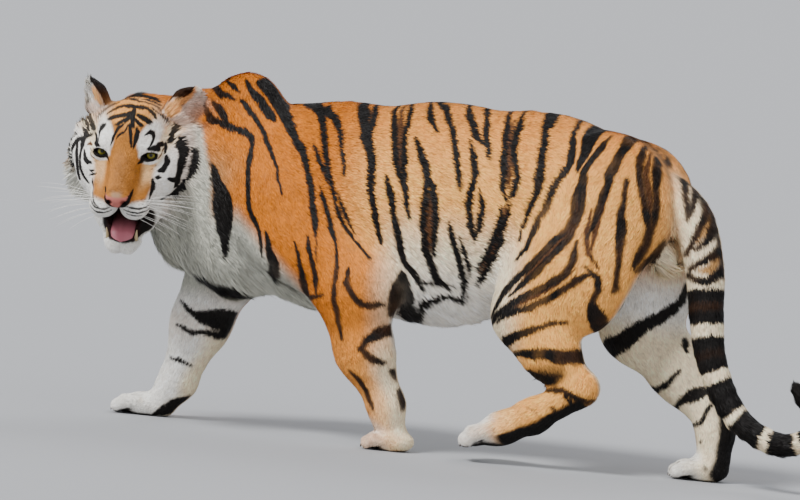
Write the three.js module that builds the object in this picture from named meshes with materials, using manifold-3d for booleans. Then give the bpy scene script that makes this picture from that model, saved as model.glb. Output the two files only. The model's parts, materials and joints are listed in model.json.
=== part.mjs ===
// A life-size tiger in mid stride, its head turned to its left and its mouth open.
// Millimetres. The tiger walks towards -X, its left side faces -Y, and the floor is z = 0.
// The whole animal is one smooth field of rods and balls that blend into each other. Each named
// sub-part is the field inside its own zone, and zones meet in thin straight cuts.
import * as THREE from 'three';
import Module from 'manifold-3d';

const wasm = await Module();
wasm.setup();

const GAP = 0.3;              // clear space between neighbours
const FAR = 3000;             // larger than the animal
const FLOOR_FLAT = 3;         // depth of the flats worn under the planted paws

// ---------------------------------------------------------------- vectors

const vec = (x, y, z) => new THREE.Vector3(x, y, z);
const radians = THREE.MathUtils.degToRad;

// A frame has an origin and three axes: ahead, left-hand side and up.
class Frame {
  constructor(origin, ahead, up) {
    const side = up.clone().cross(ahead).normalize();
    const trueUp = ahead.clone().cross(side).normalize();
    this.matrix = new THREE.Matrix4().makeBasis(ahead.clone().normalize(), side, trueUp);
    this.matrix.setPosition(origin);
    this.inverse = this.matrix.clone().invert();
  }
  toWorld(point) {
    return point.clone().applyMatrix4(this.matrix);
  }
  direction(point) {
    return point.clone().transformDirection(this.matrix);
  }
}

// ---------------------------------------------------------------- the field

let lumps = [];

// Collects what a few builders add, as a list that a field can be measured in.
function gather(...builders) {
  lumps = [];
  for (const build of builders) build();
  return lumps;
}

function blended(a, b, blend) {
  const h = Math.max(blend - Math.abs(a - b), 0) / blend;
  return Math.min(a, b) - h * h * blend / 4;
}

// Options: blend is the width of the fillet, wide scales the thickness along y, frame is a
// local frame, mirror repeats the lump at -y, and carve takes it away.
function addLump(distance, centre, reach, options) {
  const { blend = 30, frame = null, mirror = false, carve = false } = options;
  const middle = mirror ? vec(centre.x, 0, centre.z) : centre.clone();
  const radius = mirror ? reach + Math.abs(centre.y) : reach;
  if (frame) middle.applyMatrix4(frame.matrix);
  lumps.push({ distance, blend, frame, mirror, carve, middle, radius });
}

// A rod tapers from one round end to the other.
function rod(from, to, fromRadius, toRadius, options = {}) {
  const wide = options.wide ?? 1;
  const axis = to.clone().sub(from);
  const lengthSquared = axis.lengthSq();
  const offset = vec(0, 0, 0);
  const distance = (p) => {
    offset.subVectors(p, from);
    const t = THREE.MathUtils.clamp(offset.dot(axis) / lengthSquared, 0, 1);
    offset.addScaledVector(axis, -t);
    offset.y /= wide;
    return offset.length() - THREE.MathUtils.lerp(fromRadius, toRadius, t);
  };
  const centre = from.clone().lerp(to, 0.5);
  const reach = Math.sqrt(lengthSquared) / 2 + Math.max(fromRadius, toRadius) * Math.max(1, wide);
  addLump(distance, centre, reach, options);
}

// A ball is an ellipsoid, tilted nose-down about y by options.tilt degrees.
function ball(centre, radii, options = {}) {
  const tilt = radians(options.tilt ?? 0);
  const cos = Math.cos(tilt);
  const sin = Math.sin(tilt);
  const distance = (p) => {
    const x = p.x - centre.x;
    const y = p.y - centre.y;
    const z = p.z - centre.z;
    const a = (cos * x - sin * z) / radii.x;
    const b = y / radii.y;
    const c = (sin * x + cos * z) / radii.z;
    const scaled = Math.hypot(a, b, c);
    const slope = Math.hypot(a / radii.x, b / radii.y, c / radii.z);
    return slope > 1e-9 ? scaled * (scaled - 1) / slope : -Math.min(radii.x, radii.y, radii.z);
  };
  addLump(distance, centre, Math.max(radii.x, radii.y, radii.z), options);
}

const probe = vec(0, 0, 0);

function field(p, list) {
  let depth = FAR;
  for (const lump of list) {
    const nearest = p.distanceTo(lump.middle) - lump.radius;
    if (!lump.carve && nearest > depth + lump.blend) continue;
    if (lump.carve && nearest > lump.blend) continue;
    probe.copy(p);
    if (lump.frame) probe.applyMatrix4(lump.frame.inverse);
    if (lump.mirror) probe.y = Math.abs(probe.y);
    const d = lump.distance(probe);
    depth = lump.carve ? -blended(-depth, d, lump.blend) : blended(depth, d, lump.blend);
  }
  return depth;
}

// ---------------------------------------------------------------- trunk and neck

const BODY_WIDTH = 0.68;        // width of the trunk over its depth

// From the breast to the croup: where the middle of the trunk lies, and half its depth.
const trunkSections = [
  { x: -330, z: 612, half: 232 },
  { x: -150, z: 604, half: 268 },
  { x: 150, z: 610, half: 280 },
  { x: 420, z: 648, half: 240 },
  { x: 590, z: 690, half: 166 },
];

function buildTrunk() {
  for (let i = 1; i < trunkSections.length; i++) {
    const a = trunkSections[i - 1];
    const b = trunkSections[i];
    rod(vec(a.x, 0, a.z), vec(b.x, 0, b.z), a.half, b.half, { blend: 60, wide: BODY_WIDTH });
  }
  const croup = vec(655, 0, 664);
  ball(croup, vec(100, 110, 108), { blend: 60 });
  const scrotum = vec(738, -8, 558);
  ball(scrotum, vec(38, 36, 43), { blend: 20 });
}

function buildNeck() {
  const neckRoot = vec(-340, 0, 640);
  const neckMiddle = vec(-500, -5, 670);
  const neckEnd = vec(-655, -85, 715);
  rod(neckRoot, neckMiddle, 215, 172, { blend: 70, wide: 0.8 });
  rod(neckMiddle, neckEnd, 172, 112, { blend: 60, wide: 0.9 });
  const withers = vec(-430, 0, 775);
  const poll = vec(-690, -75, 802);
  rod(withers, poll, 88, 66, { blend: 60 });
  const nape = vec(-395, -60, 835);
  rod(nape, vec(-530, -50, 828), 78, 58, { blend: 50 });
  const throat = vec(-570, 0, 560);
  rod(vec(-420, 0, 540), throat, 175, 112, { blend: 70, wide: 0.8 });
  const breast = vec(-560, 0, 490);
  rod(vec(-440, 0, 500), breast, 150, 82, { blend: 60, wide: 0.9 });
}

// ---------------------------------------------------------------- legs

// The near foreleg carries the body, and the far one reaches ahead.
const foreLegs = {
  left: {
    bladeTop: vec(-385, -72, 840),
    shoulder: vec(-270, -135, 595),
    armFront: vec(-200, -150, 500),
    elbowPoint: vec(5, -150, 415),
    elbow: vec(-22, -148, 390),
    forearm: vec(18, -135, 250),
    wrist: vec(80, -112, 118),
    pastern: vec(94, -105, 60),
    sole: vec(92, -102, 0),
    stout: 0.98,
    pawSize: 1,
  },
  right: {
    bladeTop: vec(-430, 85, 800),
    shoulder: vec(-500, 115, 595),
    armFront: vec(-520, 115, 510),
    elbowPoint: vec(-465, 112, 440),
    elbow: vec(-490, 110, 430),
    forearm: vec(-543, 98, 265),
    wrist: vec(-590, 86, 105),
    pastern: vec(-628, 82, 44),
    sole: vec(-690, 80, 0),
    stout: 1.06,
    pawSize: 1.12,
  },
};

// The near hind leg swings ahead just off the floor, and the far one pushes from behind.
const hindLegs = {
  left: {
    hip: vec(600, -80, 700),
    thigh: vec(520, -112, 500),
    knee: vec(445, -132, 385),
    buttock: vec(660, -60, 640),
    hamstring: vec(575, -108, 430),
    calf: vec(500, -130, 302),
    ankle: vec(572, -122, 224),
    heel: vec(592, -120, 212),
    instep: vec(470, -114, 133),
    toeRoot: vec(390, -110, 98),
    sole: vec(376, -108, 48),
    stout: 1,
    pawSize: 1.25,
    droop: 15,
  },
  right: {
    hip: vec(630, 80, 690),
    thigh: vec(650, 105, 500),
    knee: vec(655, 115, 372),
    buttock: vec(670, 66, 620),
    hamstring: vec(690, 108, 450),
    calf: vec(780, 112, 268),
    ankle: vec(858, 104, 178),
    heel: vec(876, 102, 205),
    instep: vec(884, 99, 130),
    toeRoot: vec(884, 97, 68),
    sole: vec(852, 96, 0),
    stout: 1.08,
    pawSize: 1.1,
  },
};

// A pad, and four toes that each bend down from a knuckle to a tip. The toes point the way the
// tiger walks, and a lifted paw droops by some degrees.
function buildPaw({ sole, pawSize: s, droop = 0 }) {
  const turn = THREE.MathUtils.degToRad(droop);
  const frame = new Frame(sole, vec(-Math.cos(turn), 0, -Math.sin(turn)), vec(0, 0, 1));
  ball(vec(-12 * s, 0, 28 * s), vec(56 * s, 49 * s, 32 * s), { blend: 20, frame });
  for (const place of [-1.5, -0.5, 0.5, 1.5]) {
    const reach = (42 - 12 * Math.abs(place)) * s;
    const side = 25 * place * s;
    const root = vec(reach - 38 * s, 0.8 * side, 34 * s);
    const knuckle = vec(reach, side, 30 * s);
    const tip = vec(reach + 18 * s, side, 20 * s);
    rod(root, knuckle, 20 * s, 19 * s, { blend: 9, frame });
    rod(knuckle, tip, 20 * s, 18 * s, { blend: 9, frame });
  }
}

function buildForeLeg(leg) {
  const s = leg.stout;
  rod(leg.bladeTop, leg.shoulder, 92, 110, { blend: 60, wide: 0.62 });
  rod(leg.shoulder, leg.elbowPoint, 112, 90, { blend: 60, wide: 0.64 });
  rod(leg.armFront, leg.elbowPoint, 95, 86, { blend: 50, wide: 0.72 });
  rod(leg.elbow, leg.forearm, 105 * s, 77 * s, { blend: 45, wide: 0.78 });
  rod(leg.forearm, leg.wrist, 76 * s, 49 * s, { blend: 40, wide: 0.9 });
  rod(leg.wrist, leg.pastern, 49 * s, 42 * s, { blend: 30 });
  buildPaw(leg);
}

function buildHindLeg(leg) {
  const s = leg.stout;
  rod(leg.hip, leg.thigh, 150, 142, { blend: 60, wide: 0.55 });
  rod(leg.thigh, leg.knee, 142, 97, { blend: 60, wide: 0.6 });
  rod(leg.buttock, leg.hamstring, 92, 78, { blend: 60, wide: 0.7 });
  rod(leg.knee, leg.calf, 92, 72 * s, { blend: 45, wide: 0.74 });
  rod(leg.calf, leg.ankle, 73 * s, 50 * s, { blend: 40, wide: 0.78 });
  rod(leg.heel, leg.instep, 46 * s, 44 * s, { blend: 30, wide: 0.88 });
  rod(leg.instep, leg.toeRoot, 44 * s, 43 * s, { blend: 30, wide: 0.95 });
  buildPaw(leg);
}

// ---------------------------------------------------------------- tail

// Down behind the hocks, then back along the floor, with the tip curled up.
const tailRoute = new THREE.CatmullRomCurve3([
  vec(735, 0, 705),
  vec(805, -4, 642),
  vec(845, -8, 530),
  vec(860, -12, 420),
  vec(886, -18, 305),
  vec(960, -24, 178),
  vec(1075, -28, 124),
  vec(1163, -30, 172),
  vec(1110, -30, 256),
], false, 'catmullrom', 0.5);
const TAIL_STEPS = 32;
const TAIL_ROOT_STEPS = 4;      // steps that belong to the rump

const tailRadius = (t) => 23 + 38 * (1 - t) ** 1.25;

function buildTail(firstStep, lastStep) {
  for (let i = firstStep; i < lastStep; i++) {
    const a = i / TAIL_STEPS;
    const b = (i + 1) / TAIL_STEPS;
    rod(tailRoute.getPoint(a), tailRoute.getPoint(b), tailRadius(a), tailRadius(b), { blend: 14 });
  }
}

// ---------------------------------------------------------------- head

// The head's own frame starts between the eyes: x ahead, y to the tiger's left, z up.
const HEAD_TURN = radians(18);  // how far the nose swings from -Y towards +X
const HEAD_DIP = radians(25);
const headAhead = vec(
  Math.sin(HEAD_TURN) * Math.cos(HEAD_DIP),
  -Math.cos(HEAD_TURN) * Math.cos(HEAD_DIP),
  -Math.sin(HEAD_DIP),
);
const head = new Frame(vec(-636, -250, 690), headAhead, vec(0, 0, 1));
const EYE = { x: 4, y: 64, z: 4, radius: 19 };
const MOUTH = { x: 92, z: -158, dip: 20 };

function buildHead() {
  const inHead = (blend, more = {}) => ({ blend, frame: head, ...more });
  const both = { mirror: true };
  // skull, forehead, brow and nose
  ball(vec(-95, 0, 20), vec(122, 98, 90), inHead(30));
  ball(vec(-30, 0, 18), vec(60, 62, 56), inHead(30));
  ball(vec(-8, 50, 26), vec(34, 30, 18), inHead(22, both));
  rod(vec(10, 0, 8), vec(128, 0, -50), 44, 31, inHead(30));
  // cheekbone, cheek, the wall of the mouth and the ruff
  rod(vec(-8, 84, -46), vec(-90, 104, -30), 46, 60, inHead(40, both));
  ball(vec(-20, 66, -70), vec(60, 50, 50), inHead(40, both));
  ball(vec(-32, 56, -128), vec(58, 34, 58), inHead(30, both));
  ball(vec(-122, 112, -88), vec(46, 60, 86), inHead(40, both));
  // muzzle, whisker pads and nose pad
  rod(vec(-10, 48, -70), vec(80, 38, -84), 52, 40, inHead(35, both));
  ball(vec(108, 40, -93), vec(44, 38, 32), inHead(18, both));
  ball(vec(146, 0, -56), vec(20, 33, 22), inHead(10));
  // lower jaw, chin and the floor of the mouth
  rod(vec(-100, 56, -122), vec(-15, 38, -178), 54, 42, inHead(35, both));
  rod(vec(-15, 30, -190), vec(58, 14, -225), 38, 27, inHead(20, both));
  ball(vec(-80, 0, -130), vec(90, 84, 60), inHead(30));
  // the open mouth
  ball(vec(MOUTH.x, 0, MOUTH.z), vec(72, 44, 28), inHead(10, { carve: true, tilt: MOUTH.dip }));
}

// Round ears on short roots. Each turns on its own, and the left one shows its inside.
const ears = {
  left: { middle: vec(-138, 133, 100), lean: radians(38), turn: radians(28) },
  right: { middle: vec(-138, -107, 100), lean: radians(-24), turn: radians(-62) },
};

function earFrame(ear) {
  const up = vec(-0.1, Math.sin(ear.lean), Math.cos(ear.lean)).normalize();
  const ahead = vec(Math.cos(ear.turn), Math.sin(ear.turn), 0);
  ahead.addScaledVector(up, -ahead.dot(up));
  return new Frame(head.toWorld(ear.middle), head.direction(ahead), head.direction(up));
}

function buildEar(ear) {
  const frame = earFrame(ear);
  rod(vec(-4, 0, -40), vec(-4, 0, 0), 34, 30, { blend: 22, wide: 1.3, frame });
  ball(vec(-4, 0, 0), vec(26, 44, 48), { blend: 14, frame });
  ball(vec(24, 0, 4), vec(30, 32, 38), { blend: 10, frame, carve: true });
}

const bodyLumps = gather(
  buildTrunk,
  buildNeck,
  () => buildForeLeg(foreLegs.left),
  () => buildForeLeg(foreLegs.right),
  () => buildHindLeg(hindLegs.left),
  () => buildHindLeg(hindLegs.right),
  () => buildTail(0, TAIL_ROOT_STEPS),
  buildHead,
  () => buildEar(ears.left),
  () => buildEar(ears.right),
);
const tailLumps = gather(() => buildTail(0, TAIL_STEPS));

// ---------------------------------------------------------------- from field to solid

// Surface nets: one vertex in each grid cell that the surface crosses, and one quad for each
// grid edge that it crosses. What lies outside the box is empty, so the net is always closed.
function surfaceNet(list, low, high, cell) {
  const count = [0, 1, 2].map((i) => {
    const length = high.getComponent(i) - low.getComponent(i);
    return Math.ceil(length / cell.getComponent(i)) + 1;
  });
  const at = (i, j, k) => vec(low.x + i * cell.x, low.y + j * cell.y, low.z + k * cell.z);
  const index = (i, j, k) => (i * count[1] + j) * count[2] + k;
  const depths = new Float64Array(count[0] * count[1] * count[2]);
  for (let i = 0; i < count[0]; i++) {
    for (let j = 0; j < count[1]; j++) {
      for (let k = 0; k < count[2]; k++) {
        const onRim = [i, j, k].some((n, axis) => n === 0 || n === count[axis] - 1);
        const depth = field(at(i, j, k), list);
        depths[index(i, j, k)] = onRim ? Math.max(depth, 1) : depth;
      }
    }
  }
  const corners = [];
  for (let n = 0; n < 8; n++) corners.push([n >> 2, (n >> 1) & 1, n & 1]);
  const differ = (a, b) => a.filter((n, axis) => n !== b[axis]).length;
  const edges = [];
  corners.forEach((a, m) => {
    corners.forEach((b, n) => {
      if (m < n && differ(a, b) === 1) edges.push([m, n]);
    });
  });

  const vertices = [];
  const vertexOf = new Map();
  for (let i = 0; i < count[0] - 1; i++) {
    for (let j = 0; j < count[1] - 1; j++) {
      for (let k = 0; k < count[2] - 1; k++) {
        const depth = corners.map(([a, b, c]) => depths[index(i + a, j + b, k + c)]);
        const middle = vec(0, 0, 0);
        let crossings = 0;
        for (const [m, n] of edges) {
          if (depth[m] < 0 === depth[n] < 0) continue;
          const t = depth[m] / (depth[m] - depth[n]);
          const a = vec(...corners[m]);
          middle.add(a.lerp(vec(...corners[n]), t));
          crossings += 1;
        }
        if (crossings === 0) continue;
        middle.divideScalar(crossings);
        vertexOf.set(index(i, j, k), vertices.length);
        vertices.push(at(i + middle.x, j + middle.y, k + middle.z));
      }
    }
  }

  const triangles = [];
  const addQuad = (a, b, c, d, flip) => {
    const quad = [a, b, c, d].map((cellIndex) => vertexOf.get(cellIndex));
    if (flip) quad.reverse();
    const [p, q, r, s] = quad;
    const shortFirst = vertices[p].distanceTo(vertices[r]) < vertices[q].distanceTo(vertices[s]);
    if (shortFirst) triangles.push(p, q, r, p, r, s);
    else triangles.push(q, r, s, q, s, p);
  };
  for (let i = 0; i < count[0] - 1; i++) {
    for (let j = 0; j < count[1] - 1; j++) {
      for (let k = 0; k < count[2] - 1; k++) {
        const inside = depths[index(i, j, k)] < 0;
        const here = index(i, j, k);
        const backX = index(i - 1, j, k);
        const backY = index(i, j - 1, k);
        const backZ = index(i, j, k - 1);
        const backXY = index(i - 1, j - 1, k);
        const backYZ = index(i, j - 1, k - 1);
        const backXZ = index(i - 1, j, k - 1);
        if (inside !== depths[index(i + 1, j, k)] < 0) addQuad(here, backY, backYZ, backZ, !inside);
        if (inside !== depths[index(i, j + 1, k)] < 0) addQuad(here, backZ, backXZ, backX, !inside);
        if (inside !== depths[index(i, j, k + 1)] < 0) addQuad(here, backX, backXY, backY, !inside);
      }
    }
  }
  return { vertices, triangles };
}

// Moves each vertex towards the true surface, by no more than a third of a cell.
function settle(net, list, cell) {
  const limit = Math.min(cell.x, cell.y, cell.z) / 3;
  const step = 0.5;
  for (const vertex of net.vertices) {
    const start = vertex.clone();
    for (let pass = 0; pass < 3; pass++) {
      const depth = field(vertex, list);
      const slope = vec(0, 0, 0);
      for (const axis of [0, 1, 2]) {
        const ahead = vertex.clone();
        const behind = vertex.clone();
        ahead.setComponent(axis, ahead.getComponent(axis) + step);
        behind.setComponent(axis, behind.getComponent(axis) - step);
        slope.setComponent(axis, (field(ahead, list) - field(behind, list)) / (2 * step));
      }
      vertex.addScaledVector(slope, -depth / Math.max(slope.lengthSq(), 0.2));
    }
    const move = vertex.clone().sub(start);
    vertex.copy(start).add(move.clampLength(0, limit));
  }
}

function toManifold(vertices, triangles) {
  const vertProperties = new Float32Array(vertices.flatMap((v) => v.toArray()));
  const mesh = new wasm.Mesh({ numProp: 3, vertProperties, triVerts: new Uint32Array(triangles) });
  return new wasm.Manifold(mesh);
}

function netSolid(list, low, high, size) {
  const cell = vec(size, size, size);
  const net = surfaceNet(list, low, high, cell);
  settle(net, list, cell);
  return toManifold(net.vertices, net.triangles);
}

// A three.js geometry as a manifold, with its seams closed.
function geometrySolid(geometry, matrix) {
  const source = geometry.clone().applyMatrix4(matrix);
  const position = source.getAttribute('position');
  const order = source.index.array;
  const seen = new Map();
  const vertices = [];
  const merged = [];
  for (let i = 0; i < position.count; i++) {
    const v = vec(position.getX(i), position.getY(i), position.getZ(i));
    const key = v.toArray().map((n) => n.toFixed(3)).join(' ');
    if (!seen.has(key)) {
      seen.set(key, vertices.length);
      vertices.push(v);
    }
    merged.push(seen.get(key));
  }
  const triangles = [];
  for (let i = 0; i < order.length; i += 3) {
    const [a, b, c] = [0, 1, 2].map((n) => merged[order[i + n]]);
    if (a !== b && b !== c && c !== a) triangles.push(a, b, c);
  }
  return toManifold(vertices, triangles);
}

// ---------------------------------------------------------------- zones

// A plane keeps what lies ahead of it. A zone is a list of planes, moved in or out by `inset`.
const plane = (point, normal) => ({ point, normal: normal.clone().normalize() });
const headPlane = (point, normal) => plane(head.toWorld(point), head.direction(normal));

function trimmed(solid, planes, inset) {
  return planes.reduce((rest, { point, normal }) => {
    const offset = normal.dot(point) + inset;
    return rest.trimByPlane(normal.toArray(), offset);
  }, solid);
}

function zoneSolid(planes, inset) {
  const everything = geometrySolid(new THREE.BoxGeometry(FAR, FAR, FAR), new THREE.Matrix4());
  return trimmed(everything, planes, inset);
}

const AHEAD = vec(-1, 0, 0);
const BEHIND = vec(1, 0, 0);
const LEFT = vec(0, -1, 0);
const RIGHT = vec(0, 1, 0);
const UP = vec(0, 0, 1);
const DOWN = vec(0, 0, -1);

const LEG_TOP = 310;            // the legs part from the trunk below the brisket and belly
const PAW_TOP = 78;
const SHOULDER_BACK = 70;
const CHEST_BACK = -60;
const LOIN_BACK = 330;
const NECK_BACK = -440;

function earZone(ear) {
  const frame = earFrame(ear);
  return [
    plane(frame.toWorld(vec(0, 0, -30)), frame.direction(UP)),
    plane(frame.toWorld(vec(-34, 0, 0)), frame.direction(vec(1, 0, 0))),
    plane(frame.toWorld(vec(0, 62, 0)), frame.direction(vec(0, -1, 0))),
    plane(frame.toWorld(vec(0, -62, 0)), frame.direction(vec(0, 1, 0))),
    plane(frame.toWorld(vec(50, 0, 0)), frame.direction(vec(-1, 0, 0))),
    headPlane(vec(0, 0, 62), vec(0, 0, 1)),
  ];
}

const dip = radians(MOUTH.dip);
const mouthMiddle = vec(MOUTH.x, 0, MOUTH.z);
const tailPlane = (t) => plane(tailRoute.getPoint(t), tailRoute.getTangent(t));
const backwards = ({ point, normal }) => ({ point, normal: normal.clone().negate() });
const tailStart = tailPlane(TAIL_ROOT_STEPS / TAIL_STEPS);
const tailBend = tailPlane(0.45);
const tailFloor = tailPlane(0.72);

const zones = {
  earLeft: earZone(ears.left),
  earRight: earZone(ears.right),
  jaw: [
    headPlane(mouthMiddle, vec(-Math.sin(dip), 0, -Math.cos(dip))),
    headPlane(vec(-70, 0, 0), vec(1, 0, 0)),
    headPlane(vec(0, 98, 0), vec(0, -1, 0)),
    headPlane(vec(0, -98, 0), vec(0, 1, 0)),
    headPlane(vec(-70, 0, -222), vec(0.5, 0, 0.86)),
  ],
  head: [
    headPlane(vec(-172, 0, 0), vec(1, 0, 0)),
    headPlane(vec(-172, 0, -136), vec(0.55, 0, 0.83)),
    headPlane(vec(0, 205, 0), vec(0, -1, 0)),
  ],
  shoulderRight: [plane(vec(-330, 64, 0), RIGHT), plane(vec(-330, 0, 0), AHEAD)],
  neck: [plane(vec(NECK_BACK, 0, 0), AHEAD)],
  shoulderLeft: [plane(vec(0, -118, 0), LEFT), plane(vec(SHOULDER_BACK, 0, 0), AHEAD)],
  thighLeft: [plane(vec(0, -76, 0), LEFT), plane(vec(LOIN_BACK, 0, 0), BEHIND)],
  thighRight: [plane(vec(0, 76, 0), RIGHT), plane(vec(LOIN_BACK + 90, 0, 0), BEHIND)],
};
const aboveLegs = plane(vec(0, 0, LEG_TOP), UP);
const belowTrunk = plane(vec(0, 0, LEG_TOP), DOWN);
const belowPawTop = plane(vec(0, 0, PAW_TOP), DOWN);
const abovePawTop = plane(vec(0, 0, PAW_TOP), UP);
const swingToes = plane(hindLegs.left.toeRoot, vec(-0.85, 0, -0.5));

// ---------------------------------------------------------------- sub-parts

const COAT = { orange: 0xc98a4b, pale: 0xe6d3b4, white: 0xefe9dc, dark: 0x2a211b };

function finish(color, roughness) {
  return new THREE.MeshStandardMaterial({ color, roughness, metalness: 0 });
}

const parts = [];

function addPart(name, solid, color, roughness = 0.9) {
  const pieces = solid.decompose().sort((a, b) => b.volume() - a.volume());
  const mesh = pieces[0].getMesh();
  const geometry = new THREE.BufferGeometry();
  geometry.setAttribute('position', new THREE.BufferAttribute(mesh.vertProperties, 3));
  geometry.setIndex(new THREE.BufferAttribute(mesh.triVerts, 1));
  const part = new THREE.Mesh(geometry, finish(color, roughness));
  part.name = name;
  parts.push(part);
}

// Flesh between its own planes, with other zones and solids taken out of it.
function fleshPart(name, color, size, low, high, planes, takenZones = [], takenSolids = []) {
  let solid = trimmed(netSolid(bodyLumps, low, high, size), planes, GAP / 2);
  for (const zone of takenZones) solid = solid.subtract(zoneSolid(zone, -GAP / 2));
  for (const taken of takenSolids) solid = solid.subtract(taken);
  addPart(name, solid, color);
}

function ellipsoid(centre, radii, tilt, grow) {
  const geometry = new THREE.SphereGeometry(1, 12, 8);
  geometry.scale(radii.x + grow, radii.y + grow, radii.z + grow);
  geometry.rotateY(tilt);
  geometry.translate(centre.x, centre.y, centre.z);
  return geometrySolid(geometry, head.matrix);
}

const eyeSize = vec(EYE.radius, EYE.radius, EYE.radius);
const eyeSolid = (y, grow) => ellipsoid(vec(EYE.x, y, EYE.z), eyeSize, 0, grow);

// The gap between the lids, open to the front of the eye.
const LIDS = { ahead: 30, size: vec(34, 17, 12) };
const lidGap = (y) => ellipsoid(vec(EYE.x + LIDS.ahead, y, EYE.z), LIDS.size, 0, 0);
const eyeRoom = [EYE.y, -EYE.y].map((y) => eyeSolid(y, GAP).add(lidGap(y)));

const TONGUE = { middle: vec(20, 0, -188), size: vec(60, 29, 11), tilt: radians(23) };
const tongueSolid = (grow) => ellipsoid(TONGUE.middle, TONGUE.size, TONGUE.tilt, grow);

const TOOTH = { x: 62, y: 24, rootZ: -222, height: 40, radius: 7, tilt: radians(12) };

function toothSolid(side, grow) {
  const profile = [
    new THREE.Vector2(0, -grow),
    new THREE.Vector2(TOOTH.radius + grow, 0),
    new THREE.Vector2(0.8 * TOOTH.radius + grow, TOOTH.height / 2),
    new THREE.Vector2(0, TOOTH.height + grow),
  ];
  const geometry = new THREE.LatheGeometry(profile, 10);
  geometry.rotateX(Math.PI / 2);
  geometry.rotateY(TOOTH.tilt);
  geometry.translate(TOOTH.x, side * TOOTH.y, TOOTH.rootZ);
  return geometrySolid(geometry, head.matrix);
}

const headLow = vec(-900, -460, 400);
const headHigh = vec(-440, 0, 930);
const mouthRoom = [tongueSolid(GAP), toothSolid(1, GAP), toothSolid(-1, GAP)];

addPart('eye_left', eyeSolid(EYE.y, 0), 0xa8a04a, 0.1);
addPart('eye_right', eyeSolid(-EYE.y, 0), 0xa8a04a, 0.1);
addPart('tongue', tongueSolid(0), 0xc9737c, 0.5);
addPart('tooth_left', toothSolid(1, 0).subtract(tongueSolid(GAP)), 0xe9e0c4, 0.4);
addPart('tooth_right', toothSolid(-1, 0).subtract(tongueSolid(GAP)), 0xe9e0c4, 0.4);
for (const [side, ear] of Object.entries(ears)) {
  const low = head.toWorld(ear.middle).subScalar(95);
  const high = head.toWorld(ear.middle).addScalar(95);
  fleshPart(`ear_${side}`, COAT.pale, 17, low, high, earZone(ear));
}
fleshPart('jaw', COAT.white, 25, headLow, headHigh, [...zones.jaw, ...zones.head], [], mouthRoom);
fleshPart('head', COAT.orange, 26.5, headLow, headHigh, zones.head,
  [zones.earLeft, zones.earRight, zones.jaw], [...eyeRoom, ...mouthRoom]);

const chestLow = vec(-900, -330, 270);
const chestHigh = vec(110, 290, 960);
fleshPart('shoulder_right', COAT.orange, 62, chestLow, chestHigh,
  [...zones.shoulderRight, aboveLegs], [zones.head]);
fleshPart('neck', COAT.orange, 62, chestLow, chestHigh,
  [...zones.neck, aboveLegs], [zones.head, zones.shoulderRight, zones.earLeft, zones.earRight]);
fleshPart('shoulder_left', COAT.orange, 62, chestLow, chestHigh,
  [...zones.shoulderLeft, aboveLegs], [zones.neck, zones.head, zones.earLeft]);
fleshPart('chest', COAT.orange, 62, chestLow, chestHigh,
  [plane(vec(CHEST_BACK, 0, 0), AHEAD), aboveLegs],
  [zones.neck, zones.shoulderRight, zones.shoulderLeft, zones.earLeft]);
const loinLow = vec(-110, -290, 270);
const loinHigh = vec(380, 290, 960);
fleshPart('loin', COAT.orange, 64, loinLow, loinHigh,
  [plane(vec(CHEST_BACK, 0, 0), BEHIND), plane(vec(LOIN_BACK, 0, 0), AHEAD), aboveLegs],
  [zones.shoulderLeft]);
const rumpLow = vec(280, -290, 270);
const rumpHigh = vec(860, 290, 940);
fleshPart('thigh_left', COAT.orange, 60, rumpLow, rumpHigh, [...zones.thighLeft, aboveLegs]);
fleshPart('thigh_right', COAT.orange, 60, rumpLow, rumpHigh, [...zones.thighRight, aboveLegs]);
fleshPart('rump', COAT.orange, 60, rumpLow, rumpHigh,
  [plane(vec(LOIN_BACK, 0, 0), BEHIND), backwards(tailStart), aboveLegs],
  [zones.thighLeft, zones.thighRight]);

// Each leg below the trunk, and its paw.
const legBoxes = {
  foreleg_left: [vec(-180, -260, -20), vec(190, -20, 340)],
  foreleg_right: [vec(-800, -20, -20), vec(-360, 230, 340)],
  hindleg_left: [vec(250, -250, -10), vec(690, -30, 340)],
  hindleg_right: [vec(540, 0, -20), vec(960, 230, 340)],
};
for (const [name, [low, high]] of Object.entries(legBoxes)) {
  const pawName = name.replace('leg', 'paw');
  const swinging = name === 'hindleg_left';
  const pawPlane = swinging ? swingToes : belowPawTop;
  const shin = [belowTrunk, backwards(pawPlane)];
  fleshPart(name, name.endsWith('left') ? COAT.orange : COAT.white, 40, low, high, shin);
  const paw = trimmed(netSolid(bodyLumps, low, high, 27), [pawPlane], GAP / 2);
  addPart(pawName, swinging ? paw : paw.trimByPlane(UP.toArray(), FLOOR_FLAT), COAT.white);
}

// The tail in three lengths.
const tailSolid = netSolid(tailLumps, vec(640, -110, 60), vec(1230, 90, 790), 34);
addPart('tail_root', trimmed(tailSolid, [tailStart, backwards(tailBend)], GAP / 2), COAT.pale);
addPart('tail_middle', trimmed(tailSolid, [tailBend, backwards(tailFloor)], GAP / 2), COAT.pale);
addPart('tail_tip', trimmed(tailSolid, [tailFloor], GAP / 2), COAT.dark);

// ---------------------------------------------------------------- the model

// Its origin is under the middle of its outline, on the floor.
const tiger = new THREE.Group();
tiger.name = 'tiger';
tiger.add(...parts);
const outline = new THREE.Box3().setFromObject(tiger);
const middle = outline.getCenter(vec(0, 0, 0));
const shift = vec(-middle.x, -middle.y, -outline.min.z);
for (const part of parts) part.geometry.translate(shift.x, shift.y, shift.z);

export default tiger;
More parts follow.
